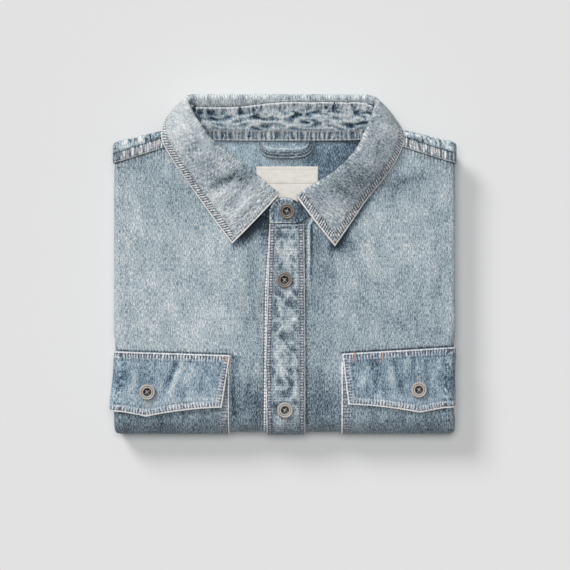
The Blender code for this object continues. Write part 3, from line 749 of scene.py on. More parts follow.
# Label cotton: plain weave, unbleached. It shows a fine square grid of threads, 0.7 mm apart here.
def label_cotton():
    made, tree = new_material("unbleached_plain_weave_cotton")
    at = add(tree, "UVMap", uv_map="cloth").outputs["UV"]
    wave = {"Vector": at, "Scale": 0.45, "Distortion": 0.6}
    across, along = (add(tree, "TexWave", wave, bands_direction=way).outputs["Fac"] for way in ("X", "Y"))
    weave = add(tree, "Math", {0: across, 1: along}, operation="ADD").outputs[0]
    sized = add(tree, "VectorMath", {0: at, 1: (0.16, 0.3, 1.0)}, operation="MULTIPLY").outputs[0]
    slubs = add(tree, "TexNoise", {"Vector": sized, "Scale": 1.0, "Detail": 4.0}).outputs["Fac"]
    mixed = add(tree, "Math", {0: weave, 1: 0.1, 2: slubs}, operation="MULTIPLY_ADD").outputs[0]
    from_top = add(tree, "SeparateXYZ", {0: add(tree, "UVMap", uv_map="seam").outputs["UV"]}).outputs["Y"]
    off_hem = add(tree, "Math", {0: from_top, 1: LABEL_HEM}, operation="SUBTRACT").outputs[0]
    off_hem = add(tree, "Math", {0: off_hem}, operation="ABSOLUTE").outputs[0]
    hem_line = {"Value": off_hem, "From Max": 0.55, "To Min": 0.55, "To Max": 0.0}
    hem = add(tree, "MapRange", hem_line).outputs[0]
    colour = ramp(tree, mixed, [(0.3, linear("#DAD4CC")), (0.8, linear("#ECE8E2"))])
    colour = mixed_colour(tree, hem, colour, linear("#8F8A86"))
    return finished(made, colour, weave, 0.4, 0.15, {"Roughness": 0.85})


# Imitation horn: cast polyester, grey-brown, turned and then tumbled, so it has a satin gloss and faint
# clouds. Its rim is rubbed paler than the dish.
def horn(name, dark, pale):
    made, tree = new_material(name)
    at = add(tree, "TexCoord").outputs["Object"]
    clouds = {"Vector": at, "Scale": 1 / (5 * MM), "Detail": 4.0, "Distortion": 1.5}
    clouds = add(tree, "TexNoise", clouds).outputs["Fac"]
    rubbed = add(tree, "Attribute", attribute_name="rubbed").outputs["Fac"]
    mixed = add(tree, "Math", {0: clouds, 1: 0.5, 2: rubbed}, operation="MULTIPLY_ADD").outputs[0]
    colour = ramp(tree, mixed, [(0.15, linear(dark)), (1.0, linear(pale))])
    scuffs = add(tree, "TexNoise", {"Vector": at, "Scale": 1 / (0.9 * MM), "Detail": 2.0}).outputs["Fac"]
    return finished(made, colour, scuffs, 0.15, 0.1, {"Roughness": 0.38, "IOR": 1.54})


# ---------------------------------------------------------------- body, yoke, placket and pockets

ROLL_COLUMNS = 12
FABRIC_PITCH = 1.4
FINE_PITCH = 1.0
YOKE_LEAN = 0.95  # from a height above the yoke's seam to the distance from it
STITCH_GROOVE = 0.5

# Mostly the cloth's own paler and deeper patches from washing; four rows are painted shade, marked below.
WASHES_AND_SHADOWS = (  # x, y, reach across, reach along, how much paler
    (-90, 62, 50, 22, -0.08),
    (-90, -46, 50, 24, 0.05),
    (-24, -20, 13, 90, -0.16),
    (-28, -114, 24, 24, -0.38),
    (-124, 84, 40, 12, -0.10),
    (-66, 70, 26, 26, -0.08),
    # painted shadow in the lee of the -X collar point
    (-16, 26, 6, 12, -0.35),
    (26, -20, 12, 90, -0.12),
    (30, -112, 24, 24, -0.29),
    (92, -44, 46, 22, -0.07),
    (124, 84, 40, 12, -0.06),
    # painted shade in the trough below the +X yoke
    (88, 66, 16, 12, -0.14),
    (92, 22, 40, 34, 0.03),
    # the next two rows: painted shadow beside the +X collar point, and painted shade along the placket's top
    (46, 17, 10, 8, -0.34),
    (24, 20, 5, 16, -0.14),
)
BUTTONS = ((0.0, -12.4), (0.4, -116.4))  # on the placket
PLACKET_SEAMS = (1.5, 4.0)  # rows of stitches, in from either edge
FLAP_DOWN = {"flap_right": 0.62, "flap_left": 0.64}  # share of the flap's depth down to its button


def patch(x, y, at_x, at_y, reach_x, reach_y):
    """1 in the middle of a soft patch, falling away to 0."""
    return exp(-(((x - at_x) / reach_x) ** 2) - ((y - at_y) / reach_y) ** 2)


def washed_and_shaded(x, y, patches):
    """How much paler a table's patches make a place."""
    return sum(row[4] * patch(x, y, *row[:4]) for row in patches)


def groove(away, at, half):
    """1 along a line at a distance from an edge, falling away to 0 either side of it."""
    return exp(-(((away - at) / half) ** 2))


def roll_columns(count=ROLL_COLUMNS, share=TUCK):
    """Places across the body, from within the side fold to just before its start."""
    return [FLAT_HALF + WRAP * share * step / count for step in range(count, 0, -1)]


def fold_rows(count, share=1.0):  # share: how much of the turn
    """Places along the body, from within the bottom fold up to just before its start."""
    return [FOLD_LINE - TURN * share * step / count for step in range(count, 0, -1)]


def underside_rows(pitch):
    """Places along the underside, from its tucked end up to just before the bottom fold."""
    tucked = spread(PATH_END - WRAP * TUCK, PATH_END, pitch)[:-1]
    return tucked + spread(PATH_END, FOLD_LINE - TURN, 6.0)[:-1]


def flap_row(side):
    return FLAPS[0] if side < 0 else FLAPS[1]


def flap_top(side, across):
    _, _, inner, _, top_in, top_out = flap_row(side)[:6]
    return between(top_in, top_out, (min(across, HALF_WIDTH) - inner) / (HALF_WIDTH - inner))


def front_seam(side, x, y):
    """The nearest sewn line to a place on a front: how far, how far along, and how puckered."""
    row = flap_row(side)
    inner = row[2]
    left, right = along_table(PLACKET_EDGES, max(y, BOTTOM_FOLD))
    found = [((yoke_seam(x) - y) * YOKE_LEAN, x, 0.75, 9.0)]
    if abs(x) > inner - 6:
        beyond = max(inner - abs(x), 0.0)
        found.append((hypot(y - flap_top(side, abs(x)), beyond), x, 0.55, 6.0))
    found.append(((left - x) if side < 0 else (x - right), y, 0.5, 7.0))
    away, along, strength, reach = min(found)
    return away, along, strength * (1 - ease(away, 1.0, reach))


def tuck_beside_placket(x, y):
    """The left front's narrow fold, right of the placket, which gets a painted highlight, and the line
    beside it, which gets painted shade.
    """
    fade = ease(y, -34, 12)
    shift = 2.6 * ease(y, 30, 36)
    return fade * swell(x - 19.3 - shift, 1.3), fade * swell(x - 21.5 - shift, 1.2)


def painted_leaf_shadow(side, x, y):
    """Painted shadow of the collar's points on the fronts: how much darker a place is in their lee."""
    if side < 0:
        return groove(leaf_front_below.near(x, y)[0], 0, 6.0) * ease(x, -48, -26)
    return 0.55 * groove(leaf_outer_below.near(x, y)[0], 0, 3.4) * (1 - ease(y, 44, 70))


def front_relief(side, x, y):
    away, along, pucker = front_seam(side, x, y)
    height = 0.36 * grain(x, y, 20, 30, side) + 0.2 * grain(x, y, 8, 15, side + 3)
    height += folded(x, y, CREASES)
    height += 0.55 * pucker * grain(along, away, 2.6, 5.0, 7)
    if side > 0:
        height += 0.8 * tuck_beside_placket(x, y)[0]
    covered = 1 - 0.7 * ease(flap_top(side, abs(x)) - y, 0, 3) * ease(abs(x), 38, 42)
    return (height * covered - 0.35 * exp(-abs(away) / 0.8)) * on_top(y), pucker, away, along


KNEE = -60.0  # above it the fronts' rows spread out to follow the neck and the yoke seam
KNEE_RUN = 100.0
BESIDE = 22.0  # inside it the columns draw in to follow the front's inner edge
FLAP_ROWS = -78.0  # from here up to the knee, over the flap's sewn edge, the rows are close
LEE = (8.0, 80.0)  # how far along the body the collar's points cast their painted shadow


def front(name, side, finish):
    def flat_place(column, row):
        across, along = side * column, row
        if column < BESIDE:
            inner = -(seam_x(row) - SEAM) if side < 0 else FRONT_LEFT_EDGE
            across = side * between(inner, BESIDE, column / BESIDE)
        if row > KNEE:
            top = yoke_seam(across)
            if abs(across) < NECK_HALF:
                top = min(top, neck_line(across))
            along = between(KNEE, top - SEAM / 2, (row - KNEE) / KNEE_RUN)
        return across, along

    def surface(column, row):
        across, along = flat_place(column, row)
        return on_body(across, along, front_relief(side, across, along)[0])

    def look(column, row):
        across, along = flat_place(column, row)
        height, pucker, away, length = front_relief(side, across, along)
        inner = flap_row(side)[2]
        # The -X front, towards the light, gets a paler base than the other as painted light.
        shade = (0.61 if side < 0 else 0.54) + washed_and_shaded(across, along, WASHES_AND_SHADOWS)
        # Crests paler and troughs darker, partly worn fading and partly painted shade, and a painted dark
        # line of shade along the nearest seam.
        shade += 0.2 * clamp(height, -0.8, 0.8) - 0.25 * groove(away, 0, 1.0)
        if side > 0:
            # Painted highlight on the fold beside the placket, painted shade in the line beside it.
            pale, dark = tuck_beside_placket(across, along)
            shade += 0.34 * pale - 0.45 * dark
        above_flap = along - flap_top(side, abs(across))
        # Painted shadow: a dark line just above a flap's sewn top, and a band beside the -X flap's inner
        # edge.
        if abs(across) > inner - 1:
            shade -= 0.4 * swell(above_flap - 0.9, 1.1)
        elif side < 0 and above_flap < 0 and along > -122:
            shade -= 0.36 * groove(abs(across), inner, 6)
        if LEE[0] < along < LEE[1]:
            shade -= painted_leaf_shadow(side, across, along)
        shade -= 0.16 * ease(-108 - along, 0, 40)
        return (across, along), (length, away), shade, pucker * 0.6, 0.0

    columns = roll_columns() + spread(FLAT_HALF, BESIDE, FABRIC_PITCH)
    columns += [20.0, 18.0, 16.0, 14.0, 12.0, 10.0, 6.0, 3.0, 0.0]
    rows = underside_rows(FABRIC_PITCH) + fold_rows(24) + spread(FOLD_LINE, FLAP_ROWS, FABRIC_PITCH)
    rows += spread(FLAP_ROWS, KNEE, 0.7)[1:] + spread(KNEE, KNEE + KNEE_RUN, 0.85)[1:]
    return cloth(name, columns, rows, surface, look, DENIM, finish)


YOKE_BAND = 7.4  # from the seam to the second row of stitches
YOKE_SEAMS = (1.3, YOKE_BAND)


def yoke_relief(across, along):
    """Relief of a yoke's end, and how far above its seam a place is."""
    away = (along - yoke_seam(across)) * YOKE_LEAN
    band = ease(away, 0.4, 1.6) * (1 - ease(away, YOKE_BAND - 0.6, YOKE_BAND + 1.2))
    above = ease(away, YOKE_BAND, YOKE_BAND + 2)
    ropes = cos(2 * pi * (across + 2.2 * grain(across, away, 5.0, 12.0, 11)) / 3.5)
    height = band * (0.2 + 0.42 * ropes) + above * 0.4 * ridges(across, away, 3.4, 5.0, 13)
    height -= 0.4 * groove(away, YOKE_BAND, 0.7) + 0.3 * exp(-abs(away) / 0.5)
    return height * (1 - 0.85 * ease(abs(across), FLAT_HALF - 5, FLAT_HALF + 4)), away, band, above


def yoke_skin(across, along):
    return on_body(across, along, yoke_relief(across, along)[0])


def yoke_end(name, side, finish):
    def flat_place(column, row):
        across = side * column
        fold = shoulder_line(across) - ROLL
        if row <= 1:
            return across, between(yoke_seam(across) + SEAM / 2, fold, row)
        return across, fold + WRAP * (row - 1)

    def surface(column, row):
        return yoke_skin(*flat_place(column, row))

    def look(column, row):
        across, along = flat_place(column, row)
        height, away, band, above = yoke_relief(across, along)
        # Crests of the ropes and bumps are painted paler and troughs darker, partly rubbed wear and partly
        # painted shade.
        shade = (0.41 if side < 0 else 0.40) + 0.02 * above + 1.6 * height * band + 1.3 * height * above
        shade -= 0.3 * groove(across, -103, 8) * above
        return (across, along), (across, away), shade, 0.6 * band, 0.8, 0.6 * above

    columns = roll_columns() + spread(FLAT_HALF, NECK_SIDE, FINE_PITCH)
    rows = spread(0, 1, 0.08) + [1 + TUCK * step / 14 for step in range(1, 15)]
    return cloth(name, columns, rows, surface, look, DENIM, finish)


INSIDE_HALF = 76.0
INSIDE_EDGE = 1.6  # how far the inner yoke stays back from the fronts' neck edge
LOOP_LEE = (24.0, 86.0)  # where the loop and the leaf shade it most


def yoke_inside(finish):
    def flat_place(column, row):
        return column, between(neck_line(column) + INSIDE_EDGE, NECK_SEAM, row)

    def surface(column, row):
        x, y = flat_place(column, row)
        sag = 0.25 * (cos(pi * x / 40) - 1) * sin(pi * row)
        waves = 0.3 * grain(x, y, 16, 22, 21) + 0.1 * grain(x, y, 6, 9, 22)
        return Vector((x, y, NECK_FLOOR + sag + waves * sin(pi * clamp(row)) ** 0.5))

    def look(column, row):
        x, y = flat_place(column, row)
        # Painted shade: darker towards +X in the lee of the collar, under the loop and next to the stand's
        # seam.
        shade = 0.56 - 0.34 * ease(x, 6, 40) - 0.10 * patch(x, y, *LOOP_LEE, 10, 10)
        shade += 0.12 * grain(x, y, 16, 22, 21) - 0.15 * (1 - ease(NECK_SEAM - y, 0, 4))
        return (x, y), (x, NECK_SEAM - y), shade, 0.0, 0.0

    columns = spread(-INSIDE_HALF, INSIDE_HALF, 1.5)
    return cloth("yoke_inside", columns, spread(0, 1, 0.03), surface, look, DENIM, finish)


TACKED_AT = 29.4  # the short fold where the stand's tab pulls on the placket, with painted shade in it


def placket_relief(x, y):
    """The buttonhole band: a rolled free edge on its left, a sewn one on its right, puckers along
    both, and a crumpled middle."""
    left, right = along_table(PLACKET_EDGES, y)
    free = x - left < right - x
    away = min(x - left, right - x)
    band = ease(away, 0.8, 1.5) * (1 - ease(away, 3.6, 5.0))
    middle = ease(away, 4.0, 7.0)
    flattened = min(ease(hypot(x - at_x, y - at_y), 5.5, 10) for at_x, at_y in BUTTONS)
    height = band * (0.15 + 0.42 * grain(away, y, 5.0, 2.0, 31 + free))
    crumples = 0.7 * grain(x, y, 8.0, 12.0, 33) + 0.55 * max(ridges(x + 0.3 * y, y, 7.0, 9.0, 34), -0.5)
    height += middle * flattened * crumples
    height -= 0.5 * swell(y - TACKED_AT - 0.03 * x, 1.1) * middle
    for row in PLACKET_SEAMS:
        height -= 0.3 * groove(away, row, STITCH_GROOVE)
    height -= 0.45 * (1 - ease(away, 0.0, 1.0))
    return height * on_top(y), away, band, middle, free


def placket_skin(x, y):
    return on_body(x, y, PLACKET_LIFT + TWO_PLY + placket_relief(x, y)[0])


def placket(finish):
    def flat_place(column, row):
        return between(*along_table(PLACKET_EDGES, row), column), row

    def surface(column, row):
        return placket_skin(*flat_place(column, row))

    def look(column, row):
        x, y = flat_place(column, row)
        height, away, band, middle, free = placket_relief(x, y)
        # Crests of the crumples and puckers are painted paler and hollows darker as painted highlight and
        # shade, and the tab's fold gets painted shade.
        shade = 0.40 + max(0.6 * height, -0.2) * middle + (0.06 + 0.2 * height) * band
        shade -= 0.10 * ease(-100 - y, 0, 30) + 0.3 * swell(y - TACKED_AT - 0.03 * x, 1.2) * middle
        return (x, y), (y, away), shade, band + 0.2 * middle, 1.0 if free else 0.8, 0.1 * middle

    rows = fold_rows(20, 6 / 8) + spread(FOLD_LINE, PLACKET_TOP, 0.95)
    return cloth("placket", spread(0, 1, 0.028), rows, surface, look, TWO_PLY, finish)


def button_placket(finish):
    def flat_place(column, row):
        left, right = seam_x(row), FRONT_LEFT_EDGE - SEAM
        across = between(left, right, column)
        return across, min(row, neck_line(across) - 0.6)

    def surface(column, row):
        return on_body(*flat_place(column, row))

    def look(column, row):
        across, along = flat_place(column, row)
        left = seam_x(along)
        band = 1 - ease(across - left, 2, 6)
        return (across, along), (along, across - left), 0.42 + 0.2 * band, band, 0.9

    rows = underside_rows(1.6) + fold_rows(20) + spread(FOLD_LINE, 34, 2.0)
    columns = [0.0, 0.03, 0.06, 0.1, 0.15, 0.22, 0.3, 0.5, 0.75, 1.0]
    return cloth("button_placket", columns, rows, surface, look, DENIM, finish)


POCKET_SEAMS = (1.5, 6.2)


def pocket_relief(x, y, inner):
    """Relief of a pocket, x being away from the middle of the shirt; it is smooth under its flap."""
    away = x - inner
    edge, last = POCKET_SEAMS
    band = ease(away, 0.4, edge) * (1 - ease(away, last, last + 2.5))
    height = band * (0.1 + 0.35 * grain(away, y, 5.0, 2.2, 41)) + 0.25 * grain(x, y, 14, 12, 42)
    height -= 0.25 * (groove(away, edge, STITCH_GROOVE) + groove(away, last, STITCH_GROOVE))
    return (height - 0.5 * (1 - ease(away, 0, 0.9))) * on_top(y), away, band


def pocket_skin(inner):
    def skin(x, y):
        relief = pocket_relief(abs(x), y, inner)[0] * (1 - ease(y, -110, -100))
        return on_body(x, y, SEAM + POCKET_THICK + relief)

    return skin


def pocket(name, side, inner, top, finish):
    skin = pocket_skin(inner)

    def surface(column, row):
        return skin(side * column, row)

    def look(column, row):
        height, away, band = pocket_relief(column, row, inner)
        # Crests painted paler and hollows darker, partly wear and partly painted shade.
        shade = (0.30 if side < 0 else 0.36) + 0.3 * height + 0.12 * band - 0.05 * ease(column, 70, 110)
        return (side * column, row), (row, away), shade, 0.6 * band, 0.9

    columns = roll_columns(8, WRAP_SHARE) + spread(FLAT_HALF, inner + 9, FABRIC_PITCH)
    columns += spread(inner + 9, inner, 0.8)[1:]
    rows = fold_rows(18, 6 / 8) + spread(FOLD_LINE, -100, 1.2) + [-92.0, top]
    return cloth(name, columns, rows, surface, look, POCKET_THICK, finish)


FLAP_BAND = 6.4  # from an edge to the second row of stitches
FLAP_SEAMS = (1.6, FLAP_BAND)
FLAP_CREASES = {  # x1, y1, x2, y2, half width, height, on the wearer's right and left
    "flap_right": (
        (79, -75, 95, -111, 5, 0.75),
        (85, -76, 98, -104, 4, -0.7),
        (70, -74, 82, -104, 5, 0.5),
        (62, -80, 70, -106, 4, -0.35),
        (98, -74, 104, -94, 6, 0.35),
        (118, -76, 124, -112, 6, 0.4),
    ),
    "flap_left": (
        (66, -76, 60, -106, 5, 0.5),
        (82, -74, 88, -104, 6, 0.5),
        (88, -78, 94, -106, 4, -0.5),
        (74, -84, 72, -108, 4, -0.4),
        (100, -72, 96, -90, 5, 0.35),
        (120, -72, 124, -106, 7, 0.45),
    ),
}


class Flap:
    """A pocket flap in its own flat coordinates: x away from the middle of the shirt, and y."""

    def __init__(self, name, side, inner, lean, top_in, top_out, corner, point_x, point_y):
        self.name, self.side, self.inner, self.lean = name, side, inner, lean
        self.tops, self.corner, self.point = (top_in, top_out), corner, (point_x, point_y)
        self.reach = point_x - inner - lean
        outer = FLAT_HALF + WRAP * WRAP_SHARE
        below = [self.flat(column, 1.0) for column in spread(outer, inner, 0.4)]
        inside = [self.flat(inner, share) for share in spread(1, 0, 0.01)]
        self.free_edge = Line(below + inside)
        self.top_edge = Line([self.flat(column, 0.0) for column in spread(outer, inner, 0.4)])
        self.button = self.flat(point_x - 1.0, FLAP_DOWN[name])

    def flat(self, column, share):
        across = column + self.lean * share * max(0.0, 1 - (column - self.inner) / self.reach)
        top, bottom = self.depth(across)
        return across, between(top, bottom, share)

    def depth(self, across):
        outward = (min(across, HALF_WIDTH) - self.inner) / (HALF_WIDTH - self.inner)
        tip = max(1 - abs(across - self.point[0]) / self.reach, 0.0) ** 1.7
        return between(*self.tops, outward), between(self.corner, self.point[1], tip)

    def relief(self, x, y):
        free, along = self.free_edge.near(x, y)
        sewn, across = self.top_edge.near(x, y)
        on_free = free < sewn
        away, length = (free, along) if on_free else (sewn, across)
        band = ease(away, 0.3, 1.4) * (1 - ease(away, FLAP_BAND, FLAP_BAND + 2))
        ropes = grain(length, away, 2.4, 6.0, 51 + on_free)
        height = band * (0.12 + 0.25 * ropes)
        creases = folded(x, y, FLAP_CREASES[self.name]) + 0.34 * grain(x, y, 8, 12, 53)
        creases += 0.16 * grain(x, y, 3.4, 5, 54)
        creases += 0.4 * grain(x, y, 3.0, 16, 55) * (1 - ease(sewn, 8, 24))
        at_x, at_y = self.button
        flattened = ease(hypot(x - at_x, y - at_y), 5.5, 10)
        height += ease(away, 4.0, 9.0) * flattened * creases
        for row in FLAP_SEAMS:
            height -= 0.26 * groove(away, row, STITCH_GROOVE)
        height -= 0.45 * (1 - ease(free, 0, 1.0)) + 0.35 * (1 - ease(sewn, 0, 0.7))
        teeth = 0.8 * ease(away, 1.0, 1.6) * (1 - ease(away, 3.2, 5.2)) + 0.2 * band
        return height, away, length, teeth, on_free

    def seat(self, x, y, relief=0.0):
        """The flap's outer face without its relief, x being the shirt's own."""
        top, bottom = self.depth(abs(x))
        share = clamp((top - y) / (top - bottom))
        lift = between(FLAP_LIFT_TOP, FLAP_LIFT, min(share * 6, 1.0)) + FLAP_RISE * share**2
        return on_body(x, y, lift + TWO_PLY + relief)

    def skin(self, x, y):
        return self.seat(x, y, self.relief(abs(x), y)[0])

    def make(self, finish):
        def surface(column, share):
            x, y = self.flat(column, 1 - share)
            return self.skin(self.side * x, y)

        def look(column, share):
            x, y = self.flat(column, 1 - share)
            height, away, length, teeth, on_free = self.relief(x, y)
            shade = (0.455 if self.side < 0 else 0.40) + 0.14 * ease(-y, 100, 112)
            # Creases: crests painted paler and troughs darker as painted highlight and shade.
            shade += 0.42 * clamp(height, -0.9, 0.9) - 0.07 * ease(x, 86, 112)
            if self.side > 0:
                shade -= 0.10 * patch(x, y, 66, -84, 16, 9)
            teeth *= 0.75 if on_free else 1.15
            return (self.side * x, y), (length, away), shade, teeth, 1.0 if on_free else 0.85

        columns = roll_columns(8, WRAP_SHARE) + spread(FLAT_HALF, self.inner + 3, FINE_PITCH)
        columns += spread(self.inner + 3, self.inner, 0.5)[1:]
        shares = [0, 0.01, 0.02, 0.035] + spread(0.05, 0.95, 0.022) + [0.965, 0.98, 0.99, 1.0]
        rows = [1 - share for share in shares][::-1]
        return cloth(self.name, columns, rows, surface, look, TWO_PLY, finish)


# ---------------------------------------------------------------- the collar

LEAF_BAND = 6.5
LEAF_SEAMS = (1.6, LEAF_BAND)
DENTS = (  # x1, y1, x2, y2, half width, height: creases across the leaf, seen from above
    (-56, 92, -44, 66, 9, 0.5),
    (-37, 74, -64, 58, 5, -0.9),
    (-34, 66, -60, 50, 4, 0.7),
    (-30, 62, -50, 42, 4, -0.7),
    (-22, 56, -46, 34, 5, 0.6),
    (-60, 100, -84, 86, 6, -0.5),
    (-70, 112, -92, 102, 6, 0.4),
    (-32, 80, -50, 60, 3, -0.5),
    (-14, 60, -40, 30, 2.5, -0.45),
    (-18, 64, -42, 36, 2.5, 0.4),
    (46, 74, 66, 62, 8, -0.45),
    (36, 66, 60, 50, 6, -0.45),
    (28, 60, 50, 38, 6, 0.5),
    (56, 86, 78, 74, 7, 0.5),
    (64, 100, 88, 90, 8, -0.4),
    (66, 114, 92, 104, 7, 0.5),
)
# The cloth's own patches from washing, with painted light marked below.
LEAF_WASHES_AND_LIGHT = (  # x, y, reach across, reach along, how much paler
    # painted light: the -X leaf's upper side, facing the light
    (-82, 112, 30, 24, 0.10),
    (-60, 80, 20, 18, -0.15),
    # painted shade in the -X leaf's dent
    (-33, 70, 10, 7, -0.36),
    (-46, 44, 16, 12, 0.07),
    (84, 112, 20, 22, -0.03),
    # the next three rows: painted shade below the +X leaf's roll line
    (62, 68, 24, 18, -0.26),
    (44, 62, 14, 10, -0.06),
    (28, 54, 16, 7, -0.16),
    (38, 38, 12, 12, 0.09),
    (0, 132, 90, 8, 0.10),
)


def ply(station, _=0):
    """The leaf's thickness, which is pressed thinner round its corners."""
    return between(TWO_PLY, CORNER_PLY, cornering(station))


leaf_outer = Line([leaf_point(station, 2.0) for station in spread(0, LAST, 0.02)])
leaf_fronts = [Line([leaf_point(end, row) for row in spread(1, 2, 0.01)]) for end in (0.0, float(LAST))]
leaf_outer_below, leaf_front_below = (
    Line([point.xy for point in line.points]) for line in (leaf_outer, leaf_fronts[0])
)


@lru_cache(maxsize=None)
def leaf_relief(station, row):
    point = leaf_point(station, row)
    outer, along = leaf_outer.near(*point)
    front, down = leaf_fronts[station > LAST / 2].near(*point)
    on_front = front < outer
    away, length = (front, down) if on_front else (outer, along)
    ragged = LEAF_BAND + 1.3 * grain(length, 0, 2.4, 1, 66)  # each pucker ends where it likes
    band = ease(away, 1.0, 1.7) * (1 - ease(away, ragged - 0.8, ragged + 1.2)) * (row > 0.9)
    on_leaf = ease(row, 1.0, 1.3)
    height = band * (0.1 + 0.25 * grain(length + away * 0.4, away, 3.0, 6.0, 61))
    dents = folded(point.x, point.y, DENTS) if point.z > 24 else 0.0
    wrinkles = 0.24 * ridges(along + 0.6 * outer, outer, 2.7, 11.0, 64) * ease(point.z, 20, 26)
    height += on_leaf * ease(away, 4, 9) * (dents + 0.25 * grain(point.x, point.y, 9, 12, 62) + wrinkles)
    height += ease(row, -0.5, 0.5) * 0.22 * grain(point.x, point.y + point.z, 4.0, 5.0, 63)
    height += 0.5 * grain(along, row * 5, 2.3, 6.0, 65) * (1 - ease(row, 0.9, 1.15))
    if row > 0.9:
        for at in LEAF_SEAMS:
            height -= 0.24 * groove(away, at, STITCH_GROOVE)
        height -= 0.35 * (1 - ease(away, 0, 1.0))
    return height, away, length, band, on_front


def leaf_skin(station, row):
    """The leaf's outer face."""
    out = leaf_relief(station, row)[0] + ply(station) / 2
    return leaf_point(station, row) + leaf_facing(station, row) * out


def runs_along(stations, middle):
    """How far along a middle line each station is."""
    runs = {stations[0]: 0.0}
    for start, end in zip(stations, stations[1:]):
        runs[end] = runs[start] + (middle(end) - middle(start)).length
    return runs


def collar_leaf(finish):
    stations = spread(0, 8, 0.03) + spread(8, 10, 0.018)[1:] + spread(10, LAST, 0.03)[1:]
    runs = runs_along(stations, lambda station: leaf_point(station, 1.5))

    def middle(station, row):
        return leaf_point(station, row) + leaf_facing(station, row) * leaf_relief(station, row)[0]

    def look(station, row):
        height, away, length, band, on_front = leaf_relief(station, row)
        point = leaf_point(station, row)
        # The -X leaf faces the light and gets a paler base as painted light.
        shade = (0.60 if station < LAST / 2 else 0.54) + washed_and_shaded(point.x, point.y, LEAF_WASHES_AND_LIGHT)
        # Dents painted darker and ridges paler as painted shade, with a painted highlight along the roll.
        shade += 0.34 * clamp(height, -1, 0.35) + 0.10 * swell(row - 0.6, 0.5) + 0.08 * band
        # Painted shade on the turn-in strip round both corners, and at the -X back corner's roll.
        shade -= 0.4 * cornering(station) * (1 - ease(row, 0.0, 0.4))
        shade -= 0.3 * clamp(1 - abs(station - 6.9)) * (1 - ease(row, 0.4, 0.9))
        across = (row - 1) * 46 if row > 1 else (row - 1) * 6
        pucker = band * (0.25 if on_front and station < LAST / 2 else 1.0)
        on_roll = ease(row, -1, -0.2) * (1 - ease(row, 0.8, 1.1))
        pucker += 0.16 * on_roll
        shade += 0.3 * on_roll * grain(runs[station], row, 7.0, 3.0, 68)
        creased = 0.15 * ease(row, 1.0, 1.2) * ease(away, 5, 9)
        return (runs[station], across), (length, away), shade, pucker, 1.0 if row > 1 else 0.3, creased

    rows = [-1.0, -0.5] + spread(0, 1, 0.11) + spread(1, 1.8, 0.025)[1:] + spread(1.8, 2.0, 0.0125)[1:]
    return two_sided_cloth("collar_leaf", stations, rows, middle, leaf_facing, ply, look, finish)


def leaf_seam(inset):
    """Places on the leaf that are an inset in from its edge, from the right point's front edge round
    to the left one's."""

    def from_outer(place):
        return leaf_outer.near(*leaf_point(*place))[0]

    def from_front(place):
        return leaf_fronts[place[0] > LAST / 2].near(*leaf_point(*place))[0]

    def settle(distance, inner, edge, place_at):
        """The place between an inner one and the edge where the distance is the inset."""
        for _ in range(12):
            half = (inner + edge) / 2
            inner, edge = (half, edge) if distance(place_at(half)) > inset else (inner, half)
        return place_at((inner + edge) / 2)

    def front_row(rows, inner, edge):
        places = [settle(from_front, inner, edge, lambda at, row=row: (at, row)) for row in rows]
        return [place for place in places if from_outer(place) >= inset]

    stations = spread(0.05, LAST - 0.05, 0.03)
    outer = [settle(from_outer, 1.0, 2.0, lambda at, station=station: (station, at)) for station in stations]
    outer = [place for place in outer if from_front(place) >= inset]
    rows = spread(1.02, 2, 0.012)
    return front_row(rows, 3.0, 0.0) + outer + front_row(rows[::-1], LAST - 3.0, LAST)


STAND_BAND = 8.4  # height of the puckered band along the neck seam
STAND_FIRST, STAND_LAST = -len(UNDER_END), LAST + len(TAB_END)
stand_low, stand_high = (
    Line([stand_point(station, share) for station in spread(STAND_FIRST, STAND_LAST, 0.02)])
    for share in (0.0, 1.0)
)
stand_tab = Line([stand_point(STAND_LAST, share) for share in spread(0, 1, 0.02)])


@lru_cache(maxsize=None)
def stand_relief(station, share):
    point = stand_point(station, share)
    low, low_run = stand_low.near(*point)
    high, high_run = stand_high.near(*point)
    tab = stand_tab.near(*point)[0] if station > LAST else 99.0
    on_tab = ease(station, LAST - 0.6, LAST + 0.4)
    inside = 1 - ease(abs(station - LAST / 2), LAST / 2 - 2.0, LAST / 2 - 0.5)
    band = (1 - ease(low, STAND_BAND - 1, STAND_BAND + 1)) * inside
    upper = 1 - ease(high, 2.5, 5.0)
    crumple = ease(low, STAND_BAND, STAND_BAND + 3) * inside
    pleats = cos(2 * pi * (low_run + 3.0 * grain(low_run, low, 6.0, 12.0, 71)) / 3.6)
    height = band * 0.3 * pleats + upper * 0.3 * grain(high_run, high, 2.2, 5.0, 72)
    lying = ridges(low_run + low, low, 11.0, 5.5, 73)
    hanging = ridges(high_run, high, 4.2, 14.0, 76)
    rubbed = crumple * max(between(lying, hanging, 1 - ease(high, 4.5, 9.0)), -0.75)
    height += crumple * 0.4 * grain(low_run, low, 14.0, 8.0, 74) - 0.8 * rubbed
    height -= 0.4 * inside * groove(low, STAND_BAND, 0.7)
    away, run = min((low, low_run), (high, high_run))
    if on_tab > 0:
        away, run = min((away, run), (tab, low_run))
        at = (point - stand_point(*TAB_BUTTON)).length
        height += on_tab * ease(at, 6, 9) * (0.35 * grain(point.x, point.y, 4, 5, 75))
        height -= on_tab * 0.5 * (1 - ease(away, 0, 1.0))
    return height * ease(station, -1, 1), away, run, band, upper, rubbed, crumple, on_tab


def stand_ply(station, _=0):
    return ply(clamp(station, 0, LAST))


def stand_inner_skin(station, share):
    """The stand's face inside the neck."""
    out = stand_relief(station, share)[0] - stand_ply(station) / 2
    return stand_point(station, share) + stand_facing(station) * out


def stand_outer_skin(station, share):
    out = stand_relief(station, share)[0] + stand_ply(station) / 2
    return stand_point(station, share) + stand_facing(station) * out


